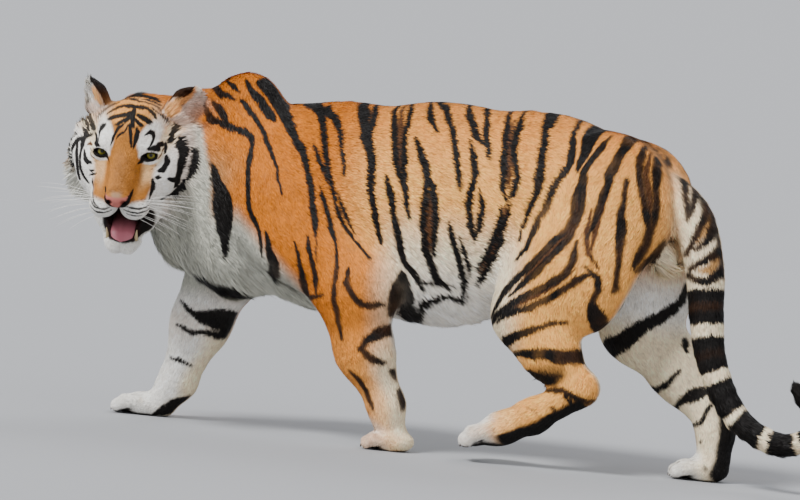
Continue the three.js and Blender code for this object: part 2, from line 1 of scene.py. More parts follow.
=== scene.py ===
# A life-size tiger: one skin over the frame's solids, a striped coat of small tufts that follow
# its lie, and its eyes, tongue, teeth, claws and whiskers. All is worked out in millimetres in the
# walking frame, and moved to the shared frame at the end: the tiger walks towards -X, its left side
# faces -Y, z is its height, and its planted soles are cut flat at FLOOR_FLAT.
import json
import math
import numpy as np
import bpy
from mathutils import Matrix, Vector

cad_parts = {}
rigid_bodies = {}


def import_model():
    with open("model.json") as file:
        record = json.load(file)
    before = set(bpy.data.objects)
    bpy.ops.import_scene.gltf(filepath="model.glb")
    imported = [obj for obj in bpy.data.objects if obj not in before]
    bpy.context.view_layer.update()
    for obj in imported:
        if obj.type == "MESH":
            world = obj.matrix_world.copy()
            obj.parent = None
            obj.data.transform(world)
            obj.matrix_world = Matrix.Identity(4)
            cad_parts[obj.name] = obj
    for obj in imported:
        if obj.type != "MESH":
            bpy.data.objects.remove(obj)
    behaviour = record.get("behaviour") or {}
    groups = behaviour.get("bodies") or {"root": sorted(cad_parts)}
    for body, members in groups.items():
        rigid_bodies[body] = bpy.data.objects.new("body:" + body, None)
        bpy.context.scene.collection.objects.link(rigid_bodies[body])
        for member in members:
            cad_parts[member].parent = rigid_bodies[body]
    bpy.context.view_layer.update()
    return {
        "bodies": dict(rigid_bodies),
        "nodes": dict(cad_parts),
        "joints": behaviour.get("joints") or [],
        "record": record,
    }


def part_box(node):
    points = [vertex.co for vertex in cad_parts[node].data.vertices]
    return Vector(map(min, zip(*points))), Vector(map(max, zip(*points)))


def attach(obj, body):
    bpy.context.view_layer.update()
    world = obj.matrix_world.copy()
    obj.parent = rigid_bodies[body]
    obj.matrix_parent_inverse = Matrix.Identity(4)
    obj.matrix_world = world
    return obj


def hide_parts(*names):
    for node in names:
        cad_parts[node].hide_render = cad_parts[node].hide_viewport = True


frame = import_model()

MM = 0.001
SEED = 11
SIDES = (("left", 1), ("right", -1))    # of the head, with the way that each lies from its middle

# ------------------------------------------------------------------ frames and vectors


def vec(*values):
    return np.array(values, float)


def unit(v):
    return v / np.maximum(np.linalg.norm(v, axis=-1, keepdims=True), 1e-9)


UP = vec(0, 0, 1)


class Frame:
    """An origin and three axes: ahead, left-hand side and up."""

    def __init__(self, origin, ahead, up):
        ahead = unit(ahead)
        side = unit(np.cross(up, ahead))
        self.origin = origin
        self.axes = np.stack([ahead, side, np.cross(ahead, side)], 1)

    def to_world(self, points):
        return np.asarray(points) @ self.axes.T + self.origin

    def to_local(self, points):
        return (points - self.origin) @ self.axes

    def direction(self, v):
        return np.asarray(v) @ self.axes.T


def smooth_step(low, high, x):
    t = np.clip((x - low) / (high - low), 0, 1)
    return t * t * (3 - 2 * t)


def lattice(cells, salt):
    """A repeatable random number from 0 to 1 for each whole-numbered cell."""
    mixed = (cells[:, 0] * 73856093) ^ (cells[:, 1] * 19349663) ^ (cells[:, 2] * 83492791)
    mixed = (mixed + salt * 974711) & 0x7FFFFFFF
    mixed = (mixed ^ (mixed >> 13)) * 1274126177 & 0x7FFFFFFF
    return ((mixed ^ (mixed >> 16)) & 0xFFFF) / 0xFFFF


def noise(points, size, salt):
    """Smooth noise from -1 to 1, with features about `size` across. Each salt gives another one."""
    scaled = points / size
    base = np.floor(scaled).astype(np.int64)
    part = scaled - base
    part = part * part * (3 - 2 * part)
    total = np.zeros(len(points))
    for n in range(8):
        corner = np.array([n >> 2, (n >> 1) & 1, n & 1])
        weight = np.prod(np.where(corner, part, 1 - part), axis=1)
        total += weight * lattice(base + corner, salt)
    return 2 * total - 1


# ------------------------------------------------------------------ the field


def blended(a, b, blend):
    """The smaller of two distances, with a fillet where they meet."""
    h = np.maximum(blend - np.abs(a - b), 0) / blend
    return np.minimum(a, b) - h * h * blend / 4


class Lump:
    """A rod or a ball of a group. blend is its fillet with the rest, mirror repeats it on the other
    side of its frame, and carve takes it away instead of adding it."""

    def __init__(self, group, centre, reach, blend=30, frame=None, mirror=False, carve=False):
        self.group, self.blend, self.frame = group, blend, frame
        self.mirror, self.carve = mirror, carve
        if mirror:
            reach = reach + abs(centre[1])
            centre = centre * vec(1, 0, 1)
        self.middle = frame.to_world(centre) if frame else centre
        self.reach = reach

    def measure(self, points):
        local = self.frame.to_local(points) if self.frame else points
        if self.mirror:
            local = local * vec(1, 0, 1) + np.abs(local) * vec(0, 1, 0)
        return self.distance(local)


class Rod(Lump):
    """A tapering rod with round ends. wide is its width, across the frame, over its depth."""

    def __init__(self, group, start, end, radii, wide=1.0, **options):
        self.start, self.axis = start, end - start
        self.radii, self.squeeze = radii, vec(1, 1 / wide, 1)
        reach = np.linalg.norm(self.axis) / 2 + max(radii) * max(1, wide)
        super().__init__(group, (start + end) / 2, reach, **options)

    def distance(self, points):
        offset = points - self.start
        t = np.clip(offset @ self.axis / (self.axis @ self.axis), 0, 1)
        offset = (offset - t[:, None] * self.axis) * self.squeeze
        return np.linalg.norm(offset, axis=1) - (1 - t) * self.radii[0] - t * self.radii[1]


class Ball(Lump):
    """An egg-like ball with three radii. tilt, in degrees, dips its front."""

    def __init__(self, group, centre, radii, tilt=0.0, **options):
        self.centre, self.radii = centre, radii
        self.cos, self.sin = math.cos(math.radians(tilt)), math.sin(math.radians(tilt))
        super().__init__(group, centre, max(radii), **options)

    def distance(self, points):
        x, y, z = (points - self.centre).T
        turned = np.stack([self.cos * x - self.sin * z, y, self.sin * x + self.cos * z], 1)
        scaled = np.linalg.norm(turned / self.radii, axis=1)
        slope = np.linalg.norm(turned / self.radii ** 2, axis=1)
        return np.where(slope > 1e-9, scaled * (scaled - 1) / np.maximum(slope, 1e-9),
                        -min(self.radii))


FAR = 400.0                     # a distance that stands for well outside
lumps = []


def rod(group, start, end, r0, r1, **options):
    lumps.append(Rod(group, start, end, (r0, r1), **options))


def ball(group, centre, radii, **options):
    lumps.append(Ball(group, centre, radii, **options))


def field(points, chosen=None):
    """The distance of points from the blended surface of the lumps, less than zero inside it."""
    depth = np.full(len(points), FAR)
    for lump in chosen or lumps:
        nearest = np.linalg.norm(points - lump.middle, axis=1) - lump.reach
        near = nearest < (lump.blend if lump.carve else depth + lump.blend)
        if not near.any():
            continue
        d = lump.measure(points[near])
        if lump.carve:
            depth[near] = -blended(-depth[near], d, lump.blend)
        else:
            depth[near] = blended(depth[near], d, lump.blend)
    return depth


# ------------------------------------------------------------------ the body's shape

WIDTH = 0.68                    # width of the trunk over its depth
# the trunk's centre line, as rows of x, height and half the depth
TRUNK = [(-330, 612, 232), (-150, 604, 268), (150, 610, 280), (420, 648, 240), (590, 690, 166)]

for (xa, za, ra), (xb, zb, rb) in zip(TRUNK, TRUNK[1:]):
    rod("trunk", vec(xa, 0, za), vec(xb, 0, zb), ra, rb, blend=60, wide=WIDTH)
ball("trunk", vec(655, 0, 664), vec(100, 110, 108), blend=60)
ball("trunk", vec(738, -8, 558), vec(38, 36, 43), blend=20)     # the pouch between the thighs
POUCH = vec(745, -10, 535)      # the middle of its longer, paler hair

rod("neck", vec(-340, 0, 640), vec(-500, -5, 670), 215, 172, blend=70, wide=0.8)
rod("neck", vec(-500, -5, 670), vec(-655, -85, 715), 172, 112, blend=60, wide=0.9)
rod("neck", vec(-430, 0, 775), vec(-690, -75, 802), 88, 66, blend=60)
rod("neck", vec(-395, -60, 835), vec(-530, -50, 828), 78, 58, blend=50)
rod("neck", vec(-420, 0, 540), vec(-570, 0, 560), 175, 112, blend=70, wide=0.8)
rod("neck", vec(-440, 0, 500), vec(-560, 0, 490), 150, 82, blend=60, wide=0.9)

# The joints of each leg, from the top down to the middle of the sole. stout and paw scale its lower
# half and its paw, and droop tips a lifted paw down by some degrees.
FORE = {
    "fore_left": dict(
        blade=vec(-385, -72, 840), shoulder=vec(-270, -135, 595), arm=vec(-200, -150, 500),
        point=vec(5, -150, 415), elbow=vec(-22, -148, 390), forearm=vec(18, -135, 250),
        wrist=vec(80, -112, 118), pastern=vec(94, -105, 60), sole=vec(92, -102, 0),
        stout=0.98, paw=1.0),
    "fore_right": dict(
        blade=vec(-430, 85, 800), shoulder=vec(-500, 115, 595), arm=vec(-520, 115, 510),
        point=vec(-465, 112, 440), elbow=vec(-490, 110, 430), forearm=vec(-543, 98, 265),
        wrist=vec(-590, 86, 105), pastern=vec(-628, 82, 44), sole=vec(-690, 80, 0),
        stout=1.06, paw=1.12),
}
HIND = {
    "hind_left": dict(
        hip=vec(600, -80, 700), thigh=vec(520, -112, 500), knee=vec(445, -132, 385),
        buttock=vec(660, -60, 640), hamstring=vec(575, -108, 430), calf=vec(500, -130, 302),
        ankle=vec(572, -122, 224), heel=vec(592, -120, 212), instep=vec(470, -114, 133),
        toes=vec(390, -110, 98), sole=vec(376, -108, 48), stout=1.0, paw=1.25, droop=15),
    "hind_right": dict(
        hip=vec(630, 80, 690), thigh=vec(650, 105, 500), knee=vec(655, 115, 372),
        buttock=vec(670, 66, 620), hamstring=vec(690, 108, 450), calf=vec(780, 112, 268),
        ankle=vec(858, 104, 178), heel=vec(876, 102, 205), instep=vec(884, 99, 130),
        toes=vec(884, 97, 68), sole=vec(852, 96, 0), stout=1.08, paw=1.1),
}
LEGS = {**FORE, **HIND}
TOES = (-1.5, -0.5, 0.5, 1.5)   # places of the toes across a paw, in toe widths
TOE_WIDTH = 27


def toe_reach(place):
    """How far ahead a toe's knuckle lies: the inner toes reach further than the outer ones."""
    return 42 - 11 * abs(place)


def paw_frame(leg):
    """The axes of a paw, from the middle of its sole: ahead is where the toes point."""
    turn = np.radians(leg.get("droop", 0))
    return Frame(leg["sole"], vec(-np.cos(turn), 0, -np.sin(turn)), UP)


def build_paw(group, leg):
    """A pad, and four toes that each bend down from a knuckle to a tip."""
    at, s = paw_frame(leg), leg["paw"]
    ball(group, vec(-12, 0, 28) * s, vec(56, 49, 32) * s, blend=20, frame=at)
    ball(group, vec(34, 0, 17) * s, vec(28, 44, 15) * s, blend=8, frame=at)
    for place in TOES:
        reach, side = toe_reach(place), TOE_WIDTH * place
        root = vec(reach - 38, 0.8 * side, 34) * s
        knuckle = vec(reach, side, 30) * s
        tip = vec(reach + 17, side, 21) * s
        rod(group, root, knuckle, 18 * s, 19.5 * s, blend=5, frame=at)
        rod(group, knuckle, tip, 19.5 * s, 18 * s, blend=4, frame=at)


for name, leg in FORE.items():
    s = leg["stout"]
    rod(name, leg["blade"], leg["shoulder"], 92, 110, blend=60, wide=0.62)
    rod(name, leg["shoulder"], leg["point"], 112, 90, blend=60, wide=0.64)
    rod(name, leg["arm"], leg["point"], 95, 86, blend=50, wide=0.72)
    rod(name, leg["elbow"], leg["forearm"], 105 * s, 77 * s, blend=45, wide=0.78)
    rod(name, leg["forearm"], leg["wrist"], 76 * s, 49 * s, blend=40, wide=0.9)
    rod(name, leg["wrist"], leg["pastern"], 49 * s, 42 * s)
    build_paw(name, leg)

for name, leg in HIND.items():
    s = leg["stout"]
    rod(name, leg["hip"], leg["thigh"], 150, 142, blend=60, wide=0.55)
    rod(name, leg["thigh"], leg["knee"], 142, 97, blend=60, wide=0.6)
    rod(name, leg["buttock"], leg["hamstring"], 92, 78, blend=60, wide=0.7)
    rod(name, leg["knee"], leg["calf"], 92, 72 * s, blend=45, wide=0.74)
    rod(name, leg["calf"], leg["ankle"], 73 * s, 50 * s, blend=40, wide=0.78)
    rod(name, leg["heel"], leg["instep"], 46 * s, 44 * s, wide=0.88)
    rod(name, leg["instep"], leg["toes"], 44 * s, 43 * s, wide=0.95)
    build_paw(name, leg)

TAIL_STEPS = 32                 # rods along the tail
TAIL_POINTS = [
    vec(735, 0, 705), vec(805, -4, 642), vec(845, -8, 530), vec(860, -12, 420),
    vec(886, -18, 305), vec(960, -24, 178), vec(1075, -28, 124), vec(1163, -30, 172),
    vec(1110, -30, 256),
]


def tail_at(t):
    """A point on the tail's curve, from its root at 0 to its tip at 1."""
    spans = len(TAIL_POINTS) - 1
    n = min(int(t * spans), spans - 1)
    u = t * spans - n
    b, c = TAIL_POINTS[n], TAIL_POINTS[n + 1]
    a = TAIL_POINTS[n - 1] if n else 2 * b - c
    d = TAIL_POINTS[n + 2] if n + 2 <= spans else 2 * c - b
    return 0.5 * (2 * b + (c - a) * u + (2 * a - 5 * b + 4 * c - d) * u ** 2
                  + (3 * b - a - 3 * c + d) * u ** 3)


def tail_radius(t):
    """Half the tail's thickness, from its root at 0 to its tip at 1."""
    return 23 + 38 * (1 - t) ** 1.25


tail_line = np.array([tail_at(n / TAIL_STEPS) for n in range(TAIL_STEPS + 1)])
for n in range(TAIL_STEPS):
    rod("tail", tail_line[n], tail_line[n + 1], tail_radius(n / TAIL_STEPS),
        tail_radius((n + 1) / TAIL_STEPS), blend=14)

# ------------------------------------------------------------------ the head

# Its own frame starts between the eyes: x ahead, y to the tiger's left, z up.
HEAD_TURN, HEAD_DIP = math.radians(18), math.radians(25)
head = Frame(
    vec(-636, -250, 690),
    vec(math.sin(HEAD_TURN) * math.cos(HEAD_DIP), -math.cos(HEAD_TURN) * math.cos(HEAD_DIP),
        -math.sin(HEAD_DIP)), UP)
EYE_IN_FRAME = vec(4, 64, 4)
EYE = vec(5, 63, 9)             # a little higher in the skin than in the frame's solids
EYE_RADIUS = 19
LOOK_OUT = unit(vec(1, 0.0, 0.42))      # from the eye to the middle of its opening
LID_GAP = 21                    # from the eye's centre out to the middle of the gap of the lids
LID_OPENING = vec(15, 17, 8.8)


def in_head(blend, mirror=False, **more):
    """The options of a lump of the head."""
    return dict(blend=blend, mirror=mirror, frame=head, **more)


# skull, forehead, brow and bridge of the nose
ball("head", vec(-95, 0, 20), vec(122, 98, 90), **in_head(30))
ball("head", vec(-30, 0, 18), vec(60, 62, 56), **in_head(30))
ball("head", vec(-8, 50, 26), vec(34, 30, 18), **in_head(22, True))
rod("head", vec(10, 0, 8), vec(128, 0, -50), 44, 31, **in_head(30))
# cheekbone, cheek, jowl and ruff
rod("head", vec(-8, 84, -46), vec(-90, 104, -30), 46, 60, **in_head(40, True))
ball("head", vec(-20, 66, -70), vec(60, 50, 50), **in_head(40, True))
ball("head", vec(-32, 56, -128), vec(58, 34, 58), **in_head(30, True))
ball("head", vec(-122, 112, -88), vec(46, 60, 86), **in_head(40, True))
# muzzle, whisker pads and nose pad
rod("head", vec(-10, 48, -70), vec(80, 38, -84), 52, 40, **in_head(35, True))
ball("head", vec(108, 40, -93), vec(44, 38, 32), **in_head(18, True))
ball("head", vec(146, 0, -56), vec(20, 33, 22), **in_head(10))
# lower jaw, chin and throat
rod("head", vec(-100, 56, -122), vec(-15, 38, -178), 54, 42, **in_head(35, True))
rod("head", vec(-15, 30, -190), vec(58, 14, -225), 38, 27, **in_head(20, True))
ball("head", vec(-80, 0, -130), vec(90, 84, 60), **in_head(30))
# what the solids leave out: lids and the gap between them, nostrils and the groove of the lip
ball("head", EYE, vec(24, 25, 22), **in_head(14, True))
ball("head", EYE + LOOK_OUT * LID_GAP - vec(0, 0, 1.5), LID_OPENING, **in_head(3, True, carve=True))
ball("head", vec(160, 17, -60), vec(12, 7, 6), **in_head(4, True, carve=True))
rod("head", vec(168, 0, -70), vec(140, 0, -128), 3, 3, **in_head(6, carve=True))
# the open mouth: its opening, the gullet and the bed of the tongue
ball("head", vec(100, 0, -160), vec(92, 78, 31), **in_head(8, carve=True, tilt=20))
ball("head", vec(5, 0, -166), vec(60, 40, 26), **in_head(12, carve=True))
rod("head", vec(-20, 0, -157), vec(108, 0, -197), 20, 20, wide=1.75, **in_head(5, carve=True))

# lean and turn, in degrees, tip each ear sideways and turn its opening away from ahead
EARS = {
    "ear_left": dict(middle=vec(-138, 133, 100), lean=38, turn=28),
    "ear_right": dict(middle=vec(-138, -107, 100), lean=-24, turn=-62),
}
ear_frames = {}
for name, ear in EARS.items():
    lean, turn = math.radians(ear["lean"]), math.radians(ear["turn"])
    up = unit(vec(-0.1, math.sin(lean), math.cos(lean)))
    ahead = vec(math.cos(turn), math.sin(turn), 0)
    ahead = ahead - up * (ahead @ up)
    at = Frame(head.to_world(ear["middle"]), head.direction(ahead), head.direction(up))
    ear_frames[name] = at
    rod(name, vec(-4, 0, -40), vec(-4, 0, 0), 34, 30, blend=22, wide=1.3, frame=at)
    ball(name, vec(-4, 0, 0), vec(25, 41, 49), blend=14, frame=at)
    ball(name, vec(24, 0, 4), vec(30, 32, 38), blend=10, frame=at, carve=True)

# the frame's eyes say where the walking frame lies
eye_boxes = [np.array(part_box(name), float) for name in ("eye_left", "eye_right")]
eyes_in_frame = np.mean(eye_boxes, axis=(0, 1))
SHIFT = eyes_in_frame - head.to_world(EYE_IN_FRAME * vec(1, 0, 1)) * MM


def to_frame(points):
    """From the walking frame's millimetres to the shared frame's metres."""
    return points * MM + SHIFT


# ------------------------------------------------------------------ the coat's depth

GROUPS = ["trunk", "neck", *LEGS, "tail", "head", *EARS]
group_lumps = {g: [lump for lump in lumps if lump.group == g] for g in GROUPS}
BORDER = 14                     # about how wide the change from one group to the next is
FLOOR_FLAT = 3                  # the height where the soles are flat, which is on the floor


def bump(points, centre, size):
    """One in the middle of a soft ball of this size, and nothing outside it."""
    return 1 - smooth_step(0.35, 1, np.linalg.norm((points - centre) / size, axis=1))


def shares(points):
    """How far each point belongs to each group, as weights that add up to one."""
    depth = np.stack([field(points, group_lumps[g]) for g in GROUPS], 1)
    weight = np.exp(-(depth - depth.min(axis=1, keepdims=True)) / BORDER)
    return weight / weight.sum(axis=1, keepdims=True)


def part_of(share, group):
    """How far each point belongs to one group."""
    return share[:, GROUPS.index(group)]


def by_group(share, default, **values):
    """A number for each group, blended where groups meet."""
    return share @ np.array([values.get(g, default) for g in GROUPS], float)


def head_parts(points):
    """Where points lie in the head's frame, the same with both sides as one, and three weights."""
    p = head.to_local(points)
    beside = p * vec(1, 0, 1) + np.abs(p) * vec(0, 1, 0)
    face = smooth_step(-95, -20, p[:, 0]) * (1 - smooth_step(150, 200, beside[:, 1]))
    ruff = bump(beside, vec(-112, 128, -100), vec(92, 92, 130))
    chin = bump(beside, vec(10, 20, -235), vec(80, 70, 55))
    return p, beside, face, ruff, chin


def coat_depth(points, share):
    """How far the skin lies inside the coat's outline."""
    depth = by_group(share, 6, trunk=9, neck=13, tail=8, ear_left=3, ear_right=3)
    p, beside, face, ruff, chin = head_parts(points)
    on_head = part_of(share, "head")
    depth = depth + on_head * (14 * ruff + 6 * chin - 3.5 * face * (1 - chin))
    from_eye = np.linalg.norm(beside - (EYE + LOOK_OUT * EYE_RADIUS), axis=1)
    depth = depth * (1 - on_head * (1 - smooth_step(22, 40, from_eye)))
    nose = bump(beside, vec(155, 0, -62), vec(45, 60, 45))
    depth = depth * (1 - nose)
    low = 1 - smooth_step(60, 140, points[:, 2])
    depth = depth * (1 - 0.5 * low)
    belly = part_of(share, "trunk") * (1 - smooth_step(330, 420, points[:, 2]))
    return depth + 9 * belly


def slope(points, step=1.0):
    """Which way the field grows, and how fast."""
    sides = [field(points + step * axis) - field(points - step * axis) for axis in np.eye(3)]
    return np.stack(sides, 1) / (2 * step)


# ------------------------------------------------------------------ the skin

CELL = 10.9  # the skin's grid, on the body
LENS = 2.8                      # how many times finer it is round the head
LENS_CENTRE = head.to_world(vec(0, 0, -40))
LENS_RADIUS = 205.0             # how far round the middle of the head it is finer
BLOCK = 4                       # cells to a side of a coarse block
NEAR_BLOCK = 1.1                # a block this near the surface, in blocks, may hold some of it


def through_lens(q):
    """From the grid's own space to millimetres: finer near the head, even further out."""
    away = q - LENS_CENTRE
    r = np.linalg.norm(away, axis=-1, keepdims=True)
    inner = r / LENS
    outer = r - (LENS - 1) * LENS_RADIUS
    return LENS_CENTRE + away / np.maximum(r, 1e-9) * np.where(r < LENS * LENS_RADIUS, inner, outer)


def grid_of(*counts):
    """Every whole-numbered place of a grid."""
    return np.stack(np.meshgrid(*[np.arange(n) for n in counts], indexing="ij"), -1).reshape(-1, 3)


def surface_net(measure, low, high):
    """A vertex in each cell that the surface crosses, and a quad for each edge it crosses."""
    counts = np.ceil((high - low) / CELL).astype(np.int64)
    coarse = grid_of(*(-(-counts // BLOCK)))
    middles = through_lens(low + (coarse + 0.5) * CELL * BLOCK)
    coarse = coarse[np.abs(measure(middles)) < NEAR_BLOCK * BLOCK * CELL]
    cells = (coarse[:, None] * BLOCK + grid_of(BLOCK, BLOCK, BLOCK)[None]).reshape(-1, 3)
    room = counts + BLOCK + 3

    def key(c):
        return (c[..., 0] * room[1] + c[..., 1]) * room[2] + c[..., 2]

    corners = grid_of(2, 2, 2)
    all_corners = (cells[:, None] + corners[None]).reshape(-1, 3)
    _, first, back = np.unique(key(all_corners), return_index=True, return_inverse=True)
    values = measure(through_lens(low + all_corners[first] * CELL))
    depth = values[back.reshape(-1)].reshape(-1, 8)
    crossed = (depth.min(1) < 0) & (depth.max(1) >= 0)
    cells, depth = cells[crossed], depth[crossed]

    total, crossings = np.zeros((len(cells), 3)), np.zeros(len(cells))
    for m in range(8):
        for n in range(m + 1, 8):
            if np.abs(corners[m] - corners[n]).sum() != 1:
                continue
            a, b = depth[:, m], depth[:, n]
            cut = (a < 0) != (b < 0)
            t = np.where(cut, a / np.where(cut, a - b, 1), 0)
            total += cut[:, None] * (corners[m] + t[:, None] * (corners[n] - corners[m]))
            crossings += cut
    vertices = through_lens(low + (cells + total / crossings[:, None]) * CELL)

    keys = key(cells)
    order = np.argsort(keys)

    def find(c):
        place = np.minimum(np.searchsorted(keys[order], key(c)), len(keys) - 1)
        return np.where(keys[order][place] == key(c), order[place], -1)

    quads = []
    for axis, far_corner in ((0, 4), (1, 2), (2, 1)):
        cut = (depth[:, 0] < 0) != (depth[:, far_corner] < 0)
        here = cells[cut]
        u, v = np.eye(3, dtype=np.int64)[(axis + 1) % 3], np.eye(3, dtype=np.int64)[(axis + 2) % 3]
        quad = np.stack([find(here), find(here - u), find(here - u - v), find(here - v)], 1)
        outward = depth[cut, 0] < 0
        quad[~outward] = quad[~outward][:, ::-1]
        quads.append(quad[(quad >= 0).all(1)])
    return vertices, np.concatenate(quads)


DEEPEST = 60                    # more than the coat's depth anywhere


def skin_depth(points):
    """The field, moved inwards by the coat's depth where the surface is near."""
    depth = field(points)
    near = np.abs(depth) < DEEPEST
    close = points[near]
    depth[near] += coat_depth(close, shares(close))
    return depth


BODY_LOW, BODY_HIGH = vec(-930, -480, -30), vec(1240, 300, 980)     # a box round the animal
lens_margin = (LENS - 1) * LENS_RADIUS
skin_points, skin_quads = surface_net(skin_depth, BODY_LOW - lens_margin, BODY_HIGH + lens_margin)


SETTLE_ROUNDS, SETTLE_STEP = 2, 4       # the step is the furthest that a round moves a point


def settle(points, share):
    """Moves points onto the skin's own surface."""
    inside = coat_depth(points, share)
    for _ in range(SETTLE_ROUNDS):
        grade = slope(points)
        steep = np.maximum((grade ** 2).sum(1), 0.2)
        move = -grade * ((field(points) + inside) / steep)[:, None]
        far = np.linalg.norm(move, axis=1, keepdims=True)
        points = points + move * np.minimum(1, SETTLE_STEP / np.maximum(far, 1e-9))
    return points


skin_share = shares(skin_points)
skin_points = settle(skin_points, skin_share)
skin_normals = unit(slope(skin_points, 2.0))
SOLE_LEVEL = FLOOR_FLAT + 0.4   # the skin's own flats, just inside those of the solids
skin_points[:, 2] = np.maximum(skin_points[:, 2], SOLE_LEVEL)

# ------------------------------------------------------------------ the lie of the coat

# the lines that the hair follows, from the front or the top on, and how much it hangs from them
PATHS = {
    "trunk": [vec(-420, 0, 700), vec(-100, 0, 690), vec(300, 0, 680), vec(700, 0, 620)],
    "neck": [vec(-700, -90, 760), vec(-520, 0, 690), vec(-300, 0, 600)],
    "tail": list(tail_line[::4]),
}
for legs, joints in ((FORE, ("blade", "shoulder", "elbow", "forearm", "wrist", "pastern")),
                     (HIND, ("hip", "knee", "ankle", "toes"))):
    for name, leg in legs.items():
        PATHS[name] = [leg[joint] for joint in joints] + [leg["sole"] + vec(-60, 0, 8)]
HANG = dict(trunk=0.3, neck=0.35, fore_left=0.1, fore_right=0.1, hind_left=0.15, hind_right=0.15,
            tail=0.1)
PATH_SOFTNESS = 20              # how close to a path its bends are rounded off


def to_segment(points, a, b):
    """Distance to a segment, and how far along it the nearest point lies."""
    axis = b - a
    t = np.clip((points - a) @ axis / max(axis @ axis, 1e-9), 0, 1)
    return np.linalg.norm(points - a - t[:, None] * axis, axis=1), t


def along(points, path):
    """The direction of the nearest stretch of a path."""
    total = np.zeros_like(points)
    for a, b in zip(path, path[1:]):
        distance, _ = to_segment(points, a, b)
        total += unit(b - a) / (distance[:, None] ** 2 + PATH_SOFTNESS ** 2) ** 2
    return unit(total)


def coat_lie(points, normals, share):
    """Which way the hair lies at each point."""
    p, beside, face, ruff, chin = head_parts(points)
    from_nose = unit(p - vec(150, 0, -40))
    from_nose = from_nose + ruff[:, None] * vec(-0.3, 0, -0.9) + chin[:, None] * vec(-0.8, 0, -0.5)
    total = np.zeros_like(points)
    for n, g in enumerate(GROUPS):
        if g == "head":
            way = unit(head.direction(from_nose))
        elif g in EARS:
            way = np.tile(ear_frames[g].direction(UP), (len(points), 1))
        else:
            way = unit(along(points, PATHS[g]) - HANG[g] * UP)
        total += share[:, n:n + 1] * way
    flat = total - normals * (total * normals).sum(1, keepdims=True)
    return unit(flat)


def coat_look(points, normals, share):
    """Length, width and lift of the tufts, and how many there are to a square centimetre."""
    p, beside, face, ruff, chin = head_parts(points)
    on_head = part_of(share, "head")
    length = by_group(share, 15, trunk=19, neck=24, tail=19, head=16, ear_left=11, ear_right=11)
    under = smooth_step(0.1, 0.8, -normals[:, 2])
    body = part_of(share, "trunk") + part_of(share, "neck")
    length += body * under * 18
    length += on_head * (40 * ruff + 14 * chin - 8 * face * (1 - chin))
    muzzle = on_head * bump(beside, vec(110, 30, -80), vec(90, 90, 90))
    length *= 1 - 0.45 * muzzle
    temple = on_head * bump(beside, vec(-95, 112, 45), vec(70, 55, 70))
    pouch = bump(points, POUCH, vec(50, 50, 50))
    length += 30 * temple + 10 * pouch
    for g in EARS:
        facing = smooth_step(0, 0.5, normals @ ear_frames[g].direction(vec(1, 0, 0)))
        low = smooth_step(20, -10, ear_frames[g].to_local(points)[:, 2])
        length += (4 + 14 * low) * part_of(share, g) * facing
    feet = 1 - smooth_step(50, 130, points[:, 2])
    length *= 1 - 0.5 * feet * (1 - part_of(share, "tail"))
    lift = by_group(share, 9, trunk=10, neck=13, tail=13, head=10, ear_left=16, ear_right=16)
    lift += on_head * (16 * ruff + 10 * chin) + 16 * temple + body * under * 6 + 10 * pouch
    number = by_group(share, 19, trunk=16, neck=14, tail=19, head=28, ear_left=50, ear_right=50)
    number += on_head * 38 * face * (1 - 0.5 * chin) + 12 * feet
    width = 0.6 + 0.085 * length
    return length, width, np.radians(lift), number


# ------------------------------------------------------------------ colours


def shade(text):
    """A colour written as on the screen, as linear light."""
    part = np.array([int(text[n:n + 2], 16) for n in (0, 2, 4)]) / 255
    return np.where(part <= 0.04045, part / 12.92, ((part + 0.055) / 1.055) ** 2.4)


ORANGE, PEACH, CREAM = shade("c66f12"), shade("fdb45c"), shade("f8e4c2")
# the grey white is white fur darkened by painted shade
FACE_ORANGE, WHITE, WHITE_IN_SHADE = shade("b47430"), shade("f2eee6"), shade("bdbcae")
BLACK, BROWN, NOSE_PINK = shade("0d0907"), shade("5a371c"), shade("bb6f64")
TAIL_BROWN, SHADED_TAN = shade("b08450"), shade("a57f55")
EYE_PEACH, BRIDGE_SHADE = shade("dcae78"), shade("94602c")
MOUTH_SHADE, GULLET_SHADE = shade("0d0a09"), shade("2a1210")

# Soft ovals on the front of the head, the same on both sides: a colour, how far out and how far
# up the middle is, half the width and half the height.
FACE_PATCHES = [
    (CREAM, 104, 22, 26, 40), (WHITE, 57, 50, 27, 31), (WHITE, 60, 22, 24, 16),
    (WHITE, 64, 3, 21, 8), (WHITE, 118, -38, 43, 54), (WHITE, 102, -88, 36, 46),
    (WHITE, 46, -99, 50, 31), (WHITE, 0, -232, 80, 34), (WHITE, 96, -160, 50, 50),
    (WHITE, 164, -50, 48, 110),
]


def mixed(base, colour, amount):
    """Lays one colour over others, by an amount for each point."""
    return base + (colour - base) * np.clip(amount, 0, 1)[:, None]


def layered(base, *layers):
    """Lays colours over one another in turn, each by its own amount."""
    for colour, amount in layers:
        base = mixed(base, colour, amount)
    return base


def in_mouth(p):
    """How far a point of the head lies in the open mouth, seen from the front."""
    reach = ((np.abs(p[:, 1] - 12) / 68) ** 3 + (np.abs(p[:, 2] + 168) / 46) ** 3) ** (1 / 3)
    return smooth_step(1.06, 0.94, reach) * smooth_step(78, 66, p[:, 0])


